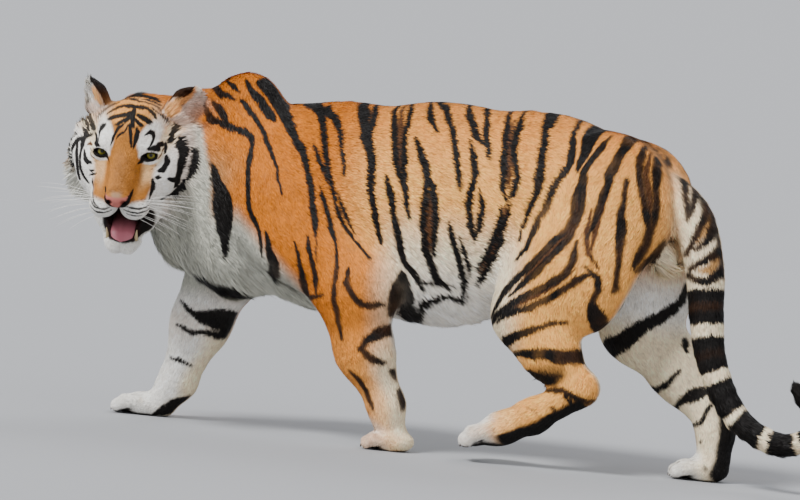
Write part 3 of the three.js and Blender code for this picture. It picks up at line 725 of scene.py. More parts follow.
def head_base(points):
    """The head without its stripes: orange in the middle, white round the eyes and the mouth."""
    p, beside, face, ruff, chin = head_parts(points)
    out, up = beside[:, 1], p[:, 2]
    colour = layered(
        np.tile(FACE_ORANGE, (len(points), 1)),
        (PEACH, smooth_step(70, 90, up) * 0.7),
        (EYE_PEACH, smooth_step(40, 56, out) * smooth_step(-60, -30, up)),
        # painted shade darkens the middle of the nose's bridge
        (BRIDGE_SHADE, 0.55 * (smooth_step(26, 8, out) * smooth_step(40, 10, up))),
        (WHITE_IN_SHADE, 0.28 * (smooth_step(20, 6, out) * smooth_step(-28, -40, up))))
    front = smooth_step(-130, -90, p[:, 0])
    for patch, patch_out, patch_up, half_width, half_height in FACE_PATCHES:
        away = np.hypot((out - patch_out) / half_width, (up - patch_up) / half_height)
        colour = mixed(colour, patch, front * smooth_step(1.15, 0.8, away))
    nose_width = 31 * np.clip((up + 88) / 38, 0, 1)
    nose = (smooth_step(nose_width + 1.5, nose_width - 1.5, out)
            * smooth_step(-43, -47, up) * smooth_step(120, 132, p[:, 0]))
    mouth = in_mouth(p)
    return layered(
        colour,
        (WHITE, smooth_step(-98, -114, up)),
        # the ruff's white fur, greyed by painted shade
        (WHITE_IN_SHADE, 0.8 * ruff),
        (NOSE_PINK, nose),
        # painted shade over the inside of the open mouth
        (MOUTH_SHADE, mouth),
        # more painted shade, darkest deep in the middle of the mouth
        (GULLET_SHADE, mouth * smooth_step(52, 30, out)))


def base_colour(points, normals, share):
    """The coat without its stripes: orange above and outside, white below and inside."""
    x, y, z = points.T
    part = {g: part_of(share, g) for g in GROUPS}
    body = part["trunk"] + part["neck"]
    legs = sum(part[g] for g in LEGS)
    fore = part["fore_left"] + part["fore_right"]
    hind = legs - fore
    left_leg = part["fore_left"] + part["hind_left"]
    outward = np.where(left_leg > legs / 2, -normals[:, 1], normals[:, 1])
    inner = smooth_step(0.45, -0.15, outward) * smooth_step(620, 430, z)
    behind = smooth_step(0.2, 0.8, normals[:, 0])
    low = smooth_step(330, 180, z)
    paler = smooth_step(-120, 60, x) * (1 - 0.55 * smooth_step(650, 880, z))
    flank = smooth_step(650, 490, z) * smooth_step(20, 130, x) * smooth_step(470, 370, x)
    under = smooth_step(0.0, 0.7, -normals[:, 2]) * smooth_step(560, 430, z)
    colour = layered(
        np.tile(ORANGE, (len(points), 1)),
        (PEACH, paler * (1 - 0.85 * part["fore_left"])),
        (CREAM, flank),
        (WHITE, body * under),
        (WHITE, legs * inner),
        (PEACH, (0.45 * fore + 0.8 * hind) * low),
        (WHITE, fore * inner * low),
        (CREAM, hind * inner * smooth_step(420, 330, z)),
        (CREAM, fore * behind * smooth_step(300, 200, z)))
    for name, leg in LEGS.items():
        toes = paw_frame(leg).to_world(vec(45, 0, 22) * leg["paw"])
        from_toes = np.linalg.norm(points - toes, axis=1) / leg["paw"]
        pale = 0.5 if name == "fore_left" else 0.95
        colour = mixed(colour, WHITE, pale * part[name] * smooth_step(85, 50, from_toes))
    # the breast and the neck behind the cheek are white fur greyed by painted shade
    breast_edge = np.where(y < 60, 560, 500) - 0.9 * np.maximum(x + 330, 0)
    breast = smooth_step(-110, -160, x) * smooth_step(breast_edge + 40, breast_edge - 40, z)
    ruff_edge = -428 - 0.44 * np.maximum(z - 650, 0)
    behind_cheek = (smooth_step(ruff_edge + 12, ruff_edge - 12, x) * smooth_step(810, 770, z)
                    * smooth_step(0, -50, y + 0.5 * (x + 600)))
    upper = body + legs * smooth_step(310, 370, z)
    shaded_neck = smooth_step(-300, -350, x) * smooth_step(780, 640, z)
    colour = layered(
        colour,
        (SHADED_TAN, 0.7 * body * shaded_neck),
        (WHITE_IN_SHADE, upper * breast),
        (CREAM, bump(points, POUCH, vec(70, 90, 90))),
        (WHITE_IN_SHADE, body * behind_cheek),
        (CREAM, part["tail"]))
    colour += part["head"][:, None] * (head_base(points) - colour)
    p = head.to_local(points)
    for g in EARS:
        inside = smooth_step(0, 0.4, normals @ ear_frames[g].direction(vec(1, 0, 0)))
        ear = layered(
            np.tile(BLACK, (len(points), 1)),
            (WHITE, inside),
            (PEACH, 0.85 * inside * covered(p[:, 1], p[:, 2], EAR_PEACH, 5)),
            (BLACK, covered(p[:, 1], p[:, 2], EAR_BLACK, 1.5)))
        colour += part[g][:, None] * (ear - colour)
    return colour


# ------------------------------------------------------------------ markings

# A stripe is a row of (u, v, width) in millimetres on a chart. On the body's chart u is x and v is
# z. On the front of the head u is the distance to its left and v the height, and on its crown v is
# the distance ahead.
# A few of them stand for painted shadow, as noted where they stand.


def line(width, *places, ends=0.4):
    """A stripe through places on a chart, of one width that tapers at the ends, or of several."""
    if isinstance(width, (int, float)):
        width = [width * ends] + [width] * (len(places) - 2) + [width * ends]
    return np.array([(u, v, w) for (u, v), w in zip(places, width)], float)


NECK_LINES = [
    line((8, 15, 18, 16, 15, 14, 13, 12, 12, 11, 10, 10, 9, 8, 5),
         (-489, 842), (-474, 817), (-460, 798), (-415, 788), (-382, 776), (-351, 770), (-330, 759),
         (-323, 744), (-320, 700), (-313, 650), (-300, 592), (-284, 550), (-266, 522), (-260, 490),
         (-258, 463)),
    line((8, 14, 20, 25, 25, 14), (-245, 521), (-236, 497), (-228, 472), (-221, 447), (-222, 426),
         (-247, 409)),
    line((6, 22, 40, 62, 62, 48, 30, 18, 6), (-433, 686), (-417, 658), (-399, 620), (-388, 588),
         (-381, 560), (-381, 528), (-380, 497), (-383, 466), (-386, 447)),
    # a black stripe on the neck, with the ruff's painted shadow
    line((12, 24, 22, 10), (-486, 716), (-484, 692), (-489, 668), (-497, 648)),
    line((7, 7, 6, 6, 5, 4, 3), (-376, 850), (-336, 816), (-288, 759), (-266, 732),
         (-250, 704), (-230, 655), (-212, 622)),
    line(12, (-500, 893), (-463, 878), (-425, 863), (-397, 852)),
    line(8, (-440, 905), (-405, 886), (-385, 870)),
    line(16, (-462, 846), (-440, 832), (-420, 812), (-410, 794)),
    line(18, (-500, 398), (-475, 385), (-440, 372), (-410, 366), (-385, 366), (-360, 358)),
]
SHOULDER_LINES = [
    line(16, (-378, 905), (-342, 864), (-298, 822), (-282, 806)),
    line((20, 20, 20, 18, 17, 16, 14, 13, 11, 6), (-340, 907), (-297, 862), (-244, 801),
         (-214, 771), (-188, 742), (-169, 712), (-143, 649), (-126, 587), (-115, 550), (-110, 522)),
    line((18, 20, 18, 16, 12, 10, 9, 8, 6, 5), (-248, 876), (-212, 864), (-176, 846), (-152, 816),
         (-130, 765), (-100, 690), (-64, 594), (-40, 550), (-4, 514), (38, 480)),
    line(6, (-158, 757), (-140, 733), (-115, 697), (-97, 660)),
    line(7, (-118, 650), (-106, 620), (-88, 580), (-70, 540), (-52, 492)),
    line((5, 8, 10, 18, 16), (-163, 506), (-150, 474), (-143, 447), (-135, 405), (-132, 368)),
    line(8, (-128, 522), (-121, 490), (-107, 452), (-98, 420), (-94, 378)),
    line(6, (-130, 370), (-110, 372), (-75, 382)),
    line((5, 8, 10, 11, 10, 8, 5), (-52, 492), (-41, 450), (-40, 410), (-40, 372), (-34, 330),
         (-26, 300), (-20, 272)),
    line(9, (-12, 455), (-8, 415), (10, 385), (28, 370), (50, 364), (80, 371)),
    line(6, (-70, 642), (-45, 590), (-16, 540)),
]
RIB_LINES = [
    line((18, 14, 10, 6), (-160, 852), (-124, 828), (-94, 792), (-58, 684)),
    line((16, 22, 22, 20, 20, 20, 18, 14, 8), (-82, 873), (-52, 840), (-28, 798), (-4, 756),
         (11, 720), (14, 678), (23, 642), (38, 594), (59, 522)),
    line(14, (-49, 873), (-25, 840), (-13, 798)),
    line(11, (11, 882), (26, 852), (47, 810), (62, 768), (74, 726), (98, 690), (110, 666),
         (122, 630), (134, 594)),
    line(11, (50, 885), (71, 858), (80, 828), (83, 792), (92, 750), (104, 714), (113, 672)),
    line(14, (56, 693), (71, 660), (86, 612), (98, 570), (110, 522), (122, 486), (152, 450),
         (170, 420)),
    line(10, (101, 900), (119, 870), (140, 840), (164, 810)),
    line(10, (113, 900), (158, 876), (182, 846), (200, 822), (218, 786), (230, 750), (248, 702),
         (254, 672)),
    line(13, (116, 792), (134, 762), (152, 732), (167, 696), (170, 660), (167, 618), (170, 570),
         (176, 522), (188, 486), (200, 456), (236, 420)),
    line(11, (164, 708), (188, 672), (194, 630), (200, 594), (200, 540), (197, 498)),
    line(11, (200, 894), (224, 864), (248, 834), (266, 810), (284, 792)),
    line(11, (248, 891), (272, 864), (284, 828), (296, 792), (314, 756)),
    line(12, (254, 798), (272, 756), (284, 714), (281, 672), (278, 630), (287, 588), (296, 552)),
    line(11, (302, 678), (314, 630), (308, 588), (296, 546)),
    line(11, (233, 594), (242, 558), (254, 516), (266, 486), (272, 450), (269, 420), (254, 396)),
    line(8, (262, 560), (275, 520), (285, 490), (285, 455)),
    line((6, 10, 12, 10, 6), (98, 330), (140, 354), (164, 384), (210, 403), (262, 402)),
    line((26, 46, 44, 20), (112, 445), (116, 400), (108, 350), (96, 328)),
    line(7, (152, 432), (200, 440), (248, 432)),
]
HAUNCH_LINES = [
    line(13, (318, 882), (336, 840), (345, 798), (351, 750), (357, 702), (370, 662)),
    line(13, (354, 888), (366, 840), (369, 798), (378, 762), (393, 720), (390, 678), (374, 656)),
    line(11, (360, 640), (357, 600), (348, 560), (330, 520), (305, 480)),
    line(11, (385, 650), (370, 600), (368, 560), (352, 520), (320, 470), (300, 440)),
    line((35, 20, 18, 18, 22, 18, 14, 10, 6), (430, 885), (437, 840), (444, 798), (447, 756),
         (448, 714), (444, 672), (432, 630), (420, 594), (414, 558)),
    line((8, 10, 12, 13, 14, 14, 14, 12, 8, 6), (501, 876), (507, 840), (516, 798), (519, 762),
         (504, 726), (486, 690), (474, 648), (456, 600), (432, 540), (414, 510)),
    line((50, 34, 22, 10), (558, 864), (552, 820), (546, 780), (540, 744)),
    line(11, (600, 834), (588, 804), (570, 774), (558, 744), (549, 708), (543, 672), (546, 630),
         (534, 594), (510, 570), (486, 540), (456, 504), (420, 468), (384, 426), (354, 360)),
    line(10, (564, 732), (558, 690), (564, 648), (552, 606), (540, 570), (510, 534), (474, 492),
         (438, 456), (402, 420)),
    line((30, 26, 16, 9, 6), (655, 846), (648, 822), (638, 795), (624, 762), (612, 732)),
    line((8, 12, 14, 14, 12, 8, 6), (648, 806), (636, 770), (622, 730), (610, 690), (604, 650),
         (596, 610), (586, 580)),
    line((8, 10, 16, 16, 10, 8), (663, 732), (660, 678), (659, 630), (660, 582), (663, 520),
         (657, 456)),
    line(11, (690, 822), (687, 786), (690, 750), (699, 714), (708, 678), (720, 636), (726, 612),
         (714, 576), (702, 546), (693, 516)),
    line(10, (714, 810), (720, 774), (729, 732), (732, 690), (735, 648), (729, 606)),
    line(6, (750, 594), (732, 558), (714, 534), (696, 510)),
    line(12, (564, 570), (558, 522), (540, 486), (498, 456), (456, 432), (414, 402), (372, 372),
         (357, 348)),
    line(11, (612, 498), (576, 480), (540, 450), (498, 420), (456, 396), (414, 384), (372, 354)),
    line(8, (588, 510), (618, 486), (624, 456), (612, 426), (618, 402), (612, 372)),
    # painted shadow behind the thigh
    line((22, 36, 32), (614, 416), (620, 390), (622, 366)),
    line((7, 10, 14, 20, 22), (550, 371), (505, 360), (468, 342), (432, 327), (402, 308)),
    line((8, 14, 22, 28, 28, 18), (420, 280), (450, 285), (490, 288), (530, 288), (575, 288),
         (607, 283)),
    line(8, (455, 247), (480, 237), (515, 232), (552, 237)),
    line(8, (485, 195), (520, 201), (550, 202), (585, 190), (610, 180), (628, 187)),
    line(7, (558, 189), (582, 170)),
    line(6, (525, 157), (552, 139)),
]
FORELEG_LINES = [
    line((26, 24, 16, 12), (98, 314), (72, 300), (45, 277), (30, 252)),
    line((10, 14, 8), (34, 250), (58, 231), (80, 222)),
    line(7, (2, 195), (30, 175), (45, 150), (55, 120), (60, 103)),
    line((10, 22, 20, 8), (120, 178), (128, 155), (134, 128), (138, 100)),
    line(8, (100, 203), (106, 183)),
]
TAIL_ROOT_LINES = [
    line((24, 16, 10, 10, 10, 9, 7), (752, 785), (766, 760), (776, 738), (788, 708), (798, 680),
         (801, 662), (802, 648)),
    line((18, 12, 11, 9, 7), (790, 750), (801, 732), (809, 704), (810, 676), (803, 651)),
    line((12, 12, 11, 11, 10, 9), (821, 715), (836, 684), (842, 651), (832, 621), (818, 584),
         (806, 560)),
    line((14, 14, 13, 12, 10, 8), (843, 696), (858, 664), (863, 635), (859, 610), (849, 593),
         (829, 576)),
    line((14, 14, 13, 12, 10), (876, 621), (883, 588), (872, 564), (849, 549), (822, 528)),
    line((18, 18, 16, 14, 12, 10), (890, 588), (893, 545), (885, 517), (862, 498), (838, 501),
         (819, 513)),
    line(30, (700, 822), (733, 797)),
]
# the lighter brown between the stripes of the tail's root
TAIL_LIGHT = [
    line(17, (786, 735), (795, 691)),
    line(20, (840, 690), (850, 655), (848, 625), (832, 592)),
    line(22, (886, 575), (868, 530), (845, 524)),
]
NEAR_LINES = (NECK_LINES + SHOULDER_LINES + RIB_LINES + HAUNCH_LINES + FORELEG_LINES
              + TAIL_ROOT_LINES)
# the warm brown that fills a double stripe
NEAR_BROWN = [
    line(7, (-110, 530), (-102, 490), (-95, 455)),
    line(22, (40, 870), (62, 815), (75, 765), (94, 706)),
    line(20, (182, 660), (184, 610), (187, 560), (188, 510)),
    line(18, (345, 860), (355, 800), (366, 745), (374, 690)),
    line(16, (374, 648), (364, 602), (358, 556), (340, 515), (312, 475)),
    line(16, (553, 700), (556, 650), (543, 600), (520, 562), (480, 513), (440, 472)),
    line(15, (624, 740), (615, 690), (608, 640), (604, 590), (600, 548)),
    line(14, (588, 650), (584, 594), (592, 546), (618, 510)),
    line(16, (702, 800), (705, 750), (716, 700), (726, 645)),
    line(14, (562, 500), (520, 462), (470, 424), (420, 395)),
    line(16, (530, 272), (575, 270)),
    line(5, (460, 155), (500, 130)),
]
FAR_LEG_LINES = [
    line((6, 14, 20, 40, 60), (-585, 315), (-560, 300), (-535, 285), (-500, 278), (-455, 272)),
    line((6, 10, 13, 14, 24), (-587, 252), (-560, 245), (-530, 236), (-500, 238), (-455, 234)),
    line(9, (-600, 163), (-570, 158), (-540, 148)),
    line((48, 46, 34, 30, 26, 18, 8), (600, 308), (635, 326), (680, 365), (720, 392), (752, 418),
         (775, 445), (780, 482)),
    line(13, (790, 350), (797, 330), (804, 315)),
    line((7, 13, 13, 7), (703, 218), (730, 215), (760, 235), (792, 270)),
    line((8, 18, 30, 26), (772, 173), (800, 196), (825, 212), (862, 230)),
    line((5, 10, 8), (828, 135), (855, 147), (878, 192)),
    line(5, (855, 100), (862, 104)),
    # the far forepaw's blackish rear edge, with painted shadow behind its pad
    line((10, 26, 22, 8), (-548, 62), (-578, 40), (-610, 20), (-640, 6)),
]
CROWN_LINES = [
    line((9, 14, 14, 12), (-58, -68), (-34, -78), (-12, -83), (8, -78)),
    line(20, (-6, -76), (22, -78), ends=0.8),
    line(11, (-85, -94), (-71, -99), (-52, -107), (-38, -112)),
    line((8, 14, 16, 14), (-62, -132), (-38, -138), (-15, -136), (2, -124)),
    line((8, 14, 16, 14), (-60, -160), (-38, -168), (-14, -164), (2, -150)),
    line((14, 16, 12, 8), (10, -150), (26, -162), (44, -164), (60, -158)),
    line((10, 18, 18, 12), (-50, -212), (-34, -207), (-12, -196), (2, -186)),
    line((12, 18, 16, 8), (6, -190), (26, -194), (44, -184), (58, -178)),
    line((30, 30, 24), (-6, -240), (0, -222), (2, -206), ends=0.8),
    line((8, 14, 13, 10), (-57, -42), (-31, -38), (-6, -40), (2, -50)),
    line((10, 15, 16, 10), (22, -44), (36, -41), (48, -41), (64, -42)),
    line((12, 16, 15, 7), (24, -88), (40, -88), (52, -80), (62, -68)),
    line((12, 13, 13, 8), (14, -116), (34, -127), (53, -138), (70, -128)),
    line((6, 9, 9, 6), (48, -105), (72, -101), (96, -99), (112, -98)),
    line((8, 9, 9, 6), (8, -62), (5, -44), (0, -28), (-8, -16)),
    line((6, 8, 8, 8), (0, -30), (-14, -20), (-26, -12), (-36, -9)),
    line((7, 9, 9, 9), (9, -62), (9, -40), (10, -19), (13, 2)),
    line((7, 10, 11, 9), (16, -30), (24, -22), (36, -15), (46, -10)),
]
FACE_LINES = [
    line(6, (-10, 84), (-22, 76), (-28, 64), (-33, 52), (-36, 40)),
    line(3.5, (-2, 74), (-10, 67), (-18, 61), (-24, 54)),
    line(3.5, (2, 86), (-2, 76), (-7, 65)),
    line((5, 7, 7, 7, 6, 3), (5, 92), (6, 82), (8, 74), (13, 64), (16, 52), (18, 42)),
    line((5, 10, 10, 8, 4), (23, 77), (27, 69), (27, 60), (26, 52), (23, 41)),
    line(6.5, (-58, 70), (-67, 62), (-73, 54), (-75, 46), (-71, 38)),
    line((5, 8, 8, 5), (-89, 34), (-81, 33), (-74, 33), (-66, 30)),
    line((9, 16, 10), (-94, 47), (-98, 42), (-102, 36)),
    line((8, 13, 12, 7), (-113, 26), (-119, 16), (-121, 6), (-122, -6)),
    line((6, 7, 7, 7, 6, 4), (-121, -6), (-120, -20), (-114, -37), (-105, -50), (-96, -58),
         (-88, -62)),
    line((5, 11, 13, 11, 8), (-136, 4), (-135, -14), (-128, -32), (-122, -48), (-116, -66)),
    line((5, 10, 9, 5), (-112, -3), (-106, -12), (-97, -17), (-87, -17)),
    line(5, (-90, -31), (-84, -32), (-78, -29)),
    line(5, (-91, -43), (-80, -38), (-70, -34)),
    line(4, (-80, -46), (-78, -55), (-73, -62)),
    line((12, 22, 20, 10), (101, 43), (107, 37), (107, 31), (102, 27)),
    line(6.5, (45, 62), (56, 64), (64, 59), (67, 50), (65, 44), (61, 37)),
    line((5, 8, 8, 6, 4), (59, 35), (68, 35), (76, 33), (84, 29), (89, 24)),
    line((4, 7, 6), (93, 25), (96, 18), (97, 10)),
    line((7, 14, 15, 8), (101, 1), (106, -10), (101, -18), (89, -20)),
    line((14, 24, 26, 22, 14, 12, 10), (126, 16), (138, 12), (144, -2), (140, -20), (135, -46),
         (132, -66), (128, -78)),
    line((12, 22, 24, 12), (169, 2), (177, -18), (172, -44), (162, -64)),
    # black under the whisker pad, widened with painted shadow
    line((16, 34, 36, 26, 14), (150, -72), (145, -92), (132, -108), (114, -110), (100, -104)),
    line((6, 10, 10), (114, -42), (124, -50), (134, -60)),
    line(9, (83, -34), (89, -35), (96, -36)),
    line((6, 9, 9, 5), (76, -39), (80, -49), (79, -60), (75, -72)),
    line(3, (12, -74), (40, -79), (60, -83), (78, -84)),
    line(3, (18, -87), (42, -90), (62, -92), (78, -93)),
    line(3, (26, -96), (46, -99), (64, -101)),
    line(3, (-14, -92), (-32, -97), (-52, -97), (-72, -89)),
    line(3, (-20, -84), (-40, -88), (-60, -85), (-75, -77)),
    line(3.5, (-73, -64), (-62, -78), (-46, -84)),
    line(4.5, (-22, -207), (0, -212), (20, -212), (42, -206)),
    line((5, 11, 9, 4), (38, 3), (44, 5), (50, 8), (57, 12)),
    line((4, 8, 4), (-38, 3), (-44, 8), (-49, 14)),
    line((5, 8, 9, 8, 5), (-35, -44), (-30, -55), (-22, -65), (-12, -76), (-3, -86)),
    # the nose's black rim on the tiger's left, widened by painted shade of the nostril
    line((5, 11, 12, 6), (35, -45), (28, -58), (17, -70), (4, -84)),
    line(4, (0, -82), (0, -100), (0, -120)),
]
# the ears, on the head's chart: (distance to the left, height)
EAR_BLACK = [
    line((10, 18, 20, 16, 8), (92, 122), (110, 130), (124, 133), (138, 140), (148, 148)),
    line((7, 13, 16, 18, 14, 8), (-116, 150), (-105, 143), (-95, 136), (-83, 129), (-72, 117),
         (-64, 106)),
]
EAR_PEACH = [
    line((14, 24, 32, 34), (150, 142), (138, 124), (120, 108), (102, 92)),
    line(26, (-104, 132), (-96, 116), (-86, 102)),
]
FACE_BROWN = [
    line(6, (-107, 8), (-98, 13), (-88, 13)),
    line(4, (-96, 6), (-87, -1), (-77, -3)),
    line(4, (79, -10), (82, -7)),
    line(3, (69, -17), (73, -15)),
    line(4, (98, 24), (88, 14), (84, 8)),
]
# the bands of the cheek that the photo doesn't show, with u ahead and v up
CHEEK_LINES = [
    line((8, 16, 20, 16, 8), (-50, 40), (-62, 5), (-64, -35), (-52, -75), (-30, -105)),
    line((8, 18, 24, 18, 8), (-105, 45), (-122, 0), (-126, -45), (-112, -90), (-85, -125)),
    line((6, 12, 14, 8), (-88, 10), (-94, -25), (-90, -60), (-78, -85)),
]
FACE_DOTS = [line(2.6, (u, v), (u + 2, v)) for u, v in (
    (50, -68), (58, -66), (66, -69), (54, -74), (63, -75), (72, -76), (78, -68), (30, -84),
    (-50, -70), (-58, -68), (-44, -76), (-66, -74))]
# bands round the parts of the legs that the charts leave out, as (distance down the leg, width)
LEG_BANDS = dict(
    fore=[(120, 20), (215, 16), (300, 26), (352, 10), (440, 8), (520, 7)],
    hind=[(130, 22), (230, 26), (300, 14), (372, 30), (430, 12), (500, 22), (548, 10)])
# rings of the tail: where each starts and ends along it, and how brown its middle is
TAIL_RINGS = [(268, 352, 0.25), (384, 472, 0.12), (500, 584, 0), (602, 676, 0),
              (702, 762, 0), (780, 816, 0), (842, 930, 0)]


def covered(u, v, stripes, soft, swell=0.0):
    """How far each point of a chart is covered by any of the stripes, from 0 to 1."""
    best = np.full(len(u), -99.0)
    for stripe in stripes:
        stripe = stripe * vec(1, 1, 1 + swell / stripe[:, 2].max())
        margin = stripe[:, 2].max() / 2 + soft
        low, high = stripe[:, :2].min(0) - margin, stripe[:, :2].max(0) + margin
        near = (u > low[0]) & (u < high[0]) & (v > low[1]) & (v < high[1])
        if not near.any():
            continue
        here = np.stack([u[near], v[near]], 1)
        inside = np.full(len(here), -99.0)
        for start, end in zip(stripe, stripe[1:]):
            distance, t = to_segment(here, start[:2], end[:2])
            inside = np.maximum(inside, (start[2] + (end[2] - start[2]) * t) / 2 - distance)
        best[near] = np.maximum(best[near], inside)
    return smooth_step(-soft, soft, best)


def nearest_on(points, path):
    """The point of a path nearest each point, and how far along the path it lies."""
    best, start = np.full(len(points), 1e9), 0.0
    nearest, place = np.zeros_like(points), np.zeros(len(points))
    for a, b in zip(path, path[1:]):
        distance, t = to_segment(points, a, b)
        closer = distance < best
        best[closer] = distance[closer]
        nearest[closer] = a + t[closer, None] * (b - a)
        place[closer] = start + t[closer] * np.linalg.norm(b - a)
        start += np.linalg.norm(b - a)
    return nearest, place


class Marks:
    """How black and how brown each point is, from 0 to 1. The strongest mark on a point wins."""

    def __init__(self, count):
        self.black, self.brown = np.zeros(count), np.zeros(count)

    def add(self, black=0.0, brown=0.0):
        self.black = np.maximum(self.black, black)
        self.brown = np.maximum(self.brown, brown)


SPREAD = 7.0                    # how much the ragged hair widens a stripe of the body
HEAD_SPREAD = 4.0               # and one of the head's crown and cheek, or of the far legs


def ragged(points, salt):
    """Small shifts of a chart that roughen the edges of its stripes."""
    return 3.5 * noise(points, 34, salt) + 1.8 * noise(points, 9, salt + 1)


def body_markings(points, normals, share):
    """Black and brown on the body, legs and tail."""
    x, y, z = points.T
    part = {g: part_of(share, g) for g in GROUPS}
    trunk = part["trunk"] + part["neck"]
    left = smooth_step(0.12, -0.12, normals[:, 1])
    right = 1 - left
    high = smooth_step(300, 380, z)
    marks = Marks(len(points))

    # the side that the photo shows; worn stripes have soft brown edges
    u, v = x + ragged(points, 21), z + ragged(points, 23)
    near = left * (trunk + part["fore_left"] + part["hind_left"] + part["tail"])
    worn = smooth_step(420, 560, x) * smooth_step(760, 600, z) + smooth_step(560, 700, x)
    worn = np.minimum(worn, 1)
    worn = worn + (1 - worn) * part["fore_left"] * smooth_step(480, 400, z)
    stripes = near * covered(u, v, NEAR_LINES, 2.2, SPREAD)
    marks.add(black=stripes * (1 - worn * (0.2 + 0.3 * noise(points, 26, 37))))
    marks.add(brown=near * worn * covered(u, v, NEAR_LINES, 7, SPREAD))
    marks.add(brown=near * covered(u, v, NEAR_BROWN, 3))

    # the other side repeats it with shifts
    shift = 14 * noise(points, 90, 31)
    far = u + 18 + shift, v + shift
    far_side = right * (trunk + high * (part["fore_right"] + part["hind_right"]))
    marks.add(black=far_side * covered(*far, NEAR_LINES, 2.2, SPREAD))
    marks.add(brown=far_side * covered(*far, NEAR_BROWN, 3))
    inner = left * (part["fore_right"] + part["hind_right"])
    marks.add(black=inner * covered(u, v, FAR_LEG_LINES, 2.5, HEAD_SPREAD))

    for legs, kind in ((FORE, "fore"), (HIND, "hind")):
        for name in legs:
            facing = right if name.endswith("left") else right * (1 - high)
            place = nearest_on(points, PATHS[name])[1] + 8 * noise(points, 45, 33)
            for distance, width in LEG_BANDS[kind]:
                gap = np.abs(place - distance) - width / 2 * (1 + 0.5 * noise(points, 60, 35))
                marks.add(black=part[name] * facing * (1 - smooth_step(-2.5, 2.5, gap)))

    for name, leg in HIND.items():
        ahead = unit(leg["toes"] - leg["heel"])
        plantar = normals @ vec(-ahead[2], 0, ahead[0])
        _, t = to_segment(points, leg["heel"], leg["toes"])
        behind_toes = smooth_step(-8, -30, paw_frame(leg).to_local(points)[:, 0])
        sole = smooth_step(0.2, 0.45, plantar) * smooth_step(-0.01, 0.04, t) * behind_toes
        marks.add(black=part[name] * sole * smooth_step(0.6, 0.9, part[name]))

    place = nearest_on(points, tail_line)[1] + ragged(points, 41)
    for start, end, middle in TAIL_RINGS:
        ring = smooth_step(start - 2, start + 2, place) * (1 - smooth_step(end - 2, end + 2, place))
        heart = smooth_step(start + 26, start + 40, place) * smooth_step(end - 26, end - 40, place)
        marks.add(black=part["tail"] * ring * (1 - middle * heart), brown=part["tail"] * ring)

    for name, leg in LEGS.items():
        paw = paw_frame(leg).to_local(points) / leg["paw"]
        on_paw = smooth_step(90, 75, np.linalg.norm(paw, axis=1))
        between = np.abs(paw[:, 1, None] - TOE_WIDTH * np.array([-1, 0, 1])).min(1)
        # brown between the toes: darker fur lines, with painted shade in the creases
        groove = smooth_step(3.6, 1.2, between) * smooth_step(4, 20, paw[:, 0]) * on_paw
        pads = smooth_step(-0.7, -0.9, normals[:, 2]) * on_paw
        marks.add(black=part[name] * pads, brown=0.75 * part[name] * groove)

    spine = np.exp(-((y / 11) ** 2)) * smooth_step(0.6, 0.9, normals[:, 2])
    marks.add(black=0.75 * spine * trunk * smooth_step(-380, -300, x))
    return marks.black, marks.brown


def head_markings(points, share):
    """Black and brown on the head."""
    p = head.to_local(points)
    x, y, z = p.T
    wobble = 1.6 * noise(p, 15, 51)
    near_head = smooth_step(-265, -240, x) * smooth_step(215, 190, np.abs(y))
    reach = part_of(share, "head") + part_of(share, "neck") * near_head
    front = smooth_step(-190, -150, x) * (1 - smooth_step(84, 88, z))
    top = np.maximum(smooth_step(74, 80, z), smooth_step(-80, -100, x) * smooth_step(20, 35, z))
    crown = top * smooth_step(95, 80, np.abs(y))
    cheek = smooth_step(-88, -100, y) * smooth_step(-20, -35, x)
    opening = EYE + LOOK_OUT * EYE_RADIUS
    rim = np.hypot((np.abs(y) - opening[1]) / 18, (z - opening[2] + 1.5) / 10)
    marks = Marks(len(points))
    marks.add(black=front * covered(y + wobble, z - wobble, FACE_LINES, 1.1, 1.6))
    marks.add(black=front * covered(y, z, FACE_DOTS, 1.0))
    marks.add(black=front * smooth_step(1.32, 1.17, rim))
    marks.add(black=cheek * covered(x + wobble, z - wobble, CHEEK_LINES, 1.3, HEAD_SPREAD))
    marks.add(black=crown * covered(y + wobble, x - wobble, CROWN_LINES, 1.3, HEAD_SPREAD))
    return reach * marks.black, reach * front * covered(y + wobble, z, FACE_BROWN, 1.2)


def coat_colour(points, normals, share):
    """The colour of skin and hair alike at each point."""
    colour = base_colour(points, normals, share)
    light = covered(points[:, 0], points[:, 2], TAIL_LIGHT, 4) * part_of(share, "tail")
    colour = mixed(colour, TAIL_BROWN, light)
    for black, brown in (body_markings(points, normals, share), head_markings(points, share)):
        colour = layered(colour, (BROWN, brown), (BLACK, black))
    return colour


# ------------------------------------------------------------------ materials and meshes

GRAIN_DETAIL = 3.0              # the noise detail of every bump


def new_material(name, grain=None, own_colours=False, **values):
    """A plain shader, with values for its sockets. grain is a bump's scale, strength and depth in
    metres, and with own_colours it takes the colours of the mesh."""
    material = bpy.data.materials.new(name)
    material.use_nodes = True
    nodes, links = material.node_tree.nodes, material.node_tree.links
    shader = nodes["Principled BSDF"]
    for socket, value in values.items():
        shader.inputs[socket.replace("_", " ")].default_value = value
    if own_colours:
        colour = nodes.new("ShaderNodeAttribute")
        colour.attribute_name = "Col"
        links.new(colour.outputs["Color"], shader.inputs["Base Color"])
    if grain:
        noise_node = nodes.new("ShaderNodeTexNoise")
        coordinates = nodes.new("ShaderNodeTexCoord")
        bump_node = nodes.new("ShaderNodeBump")
        noise_node.inputs["Scale"].default_value = grain[0]
        noise_node.inputs["Detail"].default_value = GRAIN_DETAIL
        bump_node.inputs["Strength"].default_value = grain[1]
        bump_node.inputs["Distance"].default_value = grain[2]
        links.new(coordinates.outputs["Object"], noise_node.inputs["Vector"])
        links.new(noise_node.outputs["Fac"], bump_node.inputs["Height"])
        links.new(bump_node.outputs["Normal"], shader.inputs["Normal"])
    return material


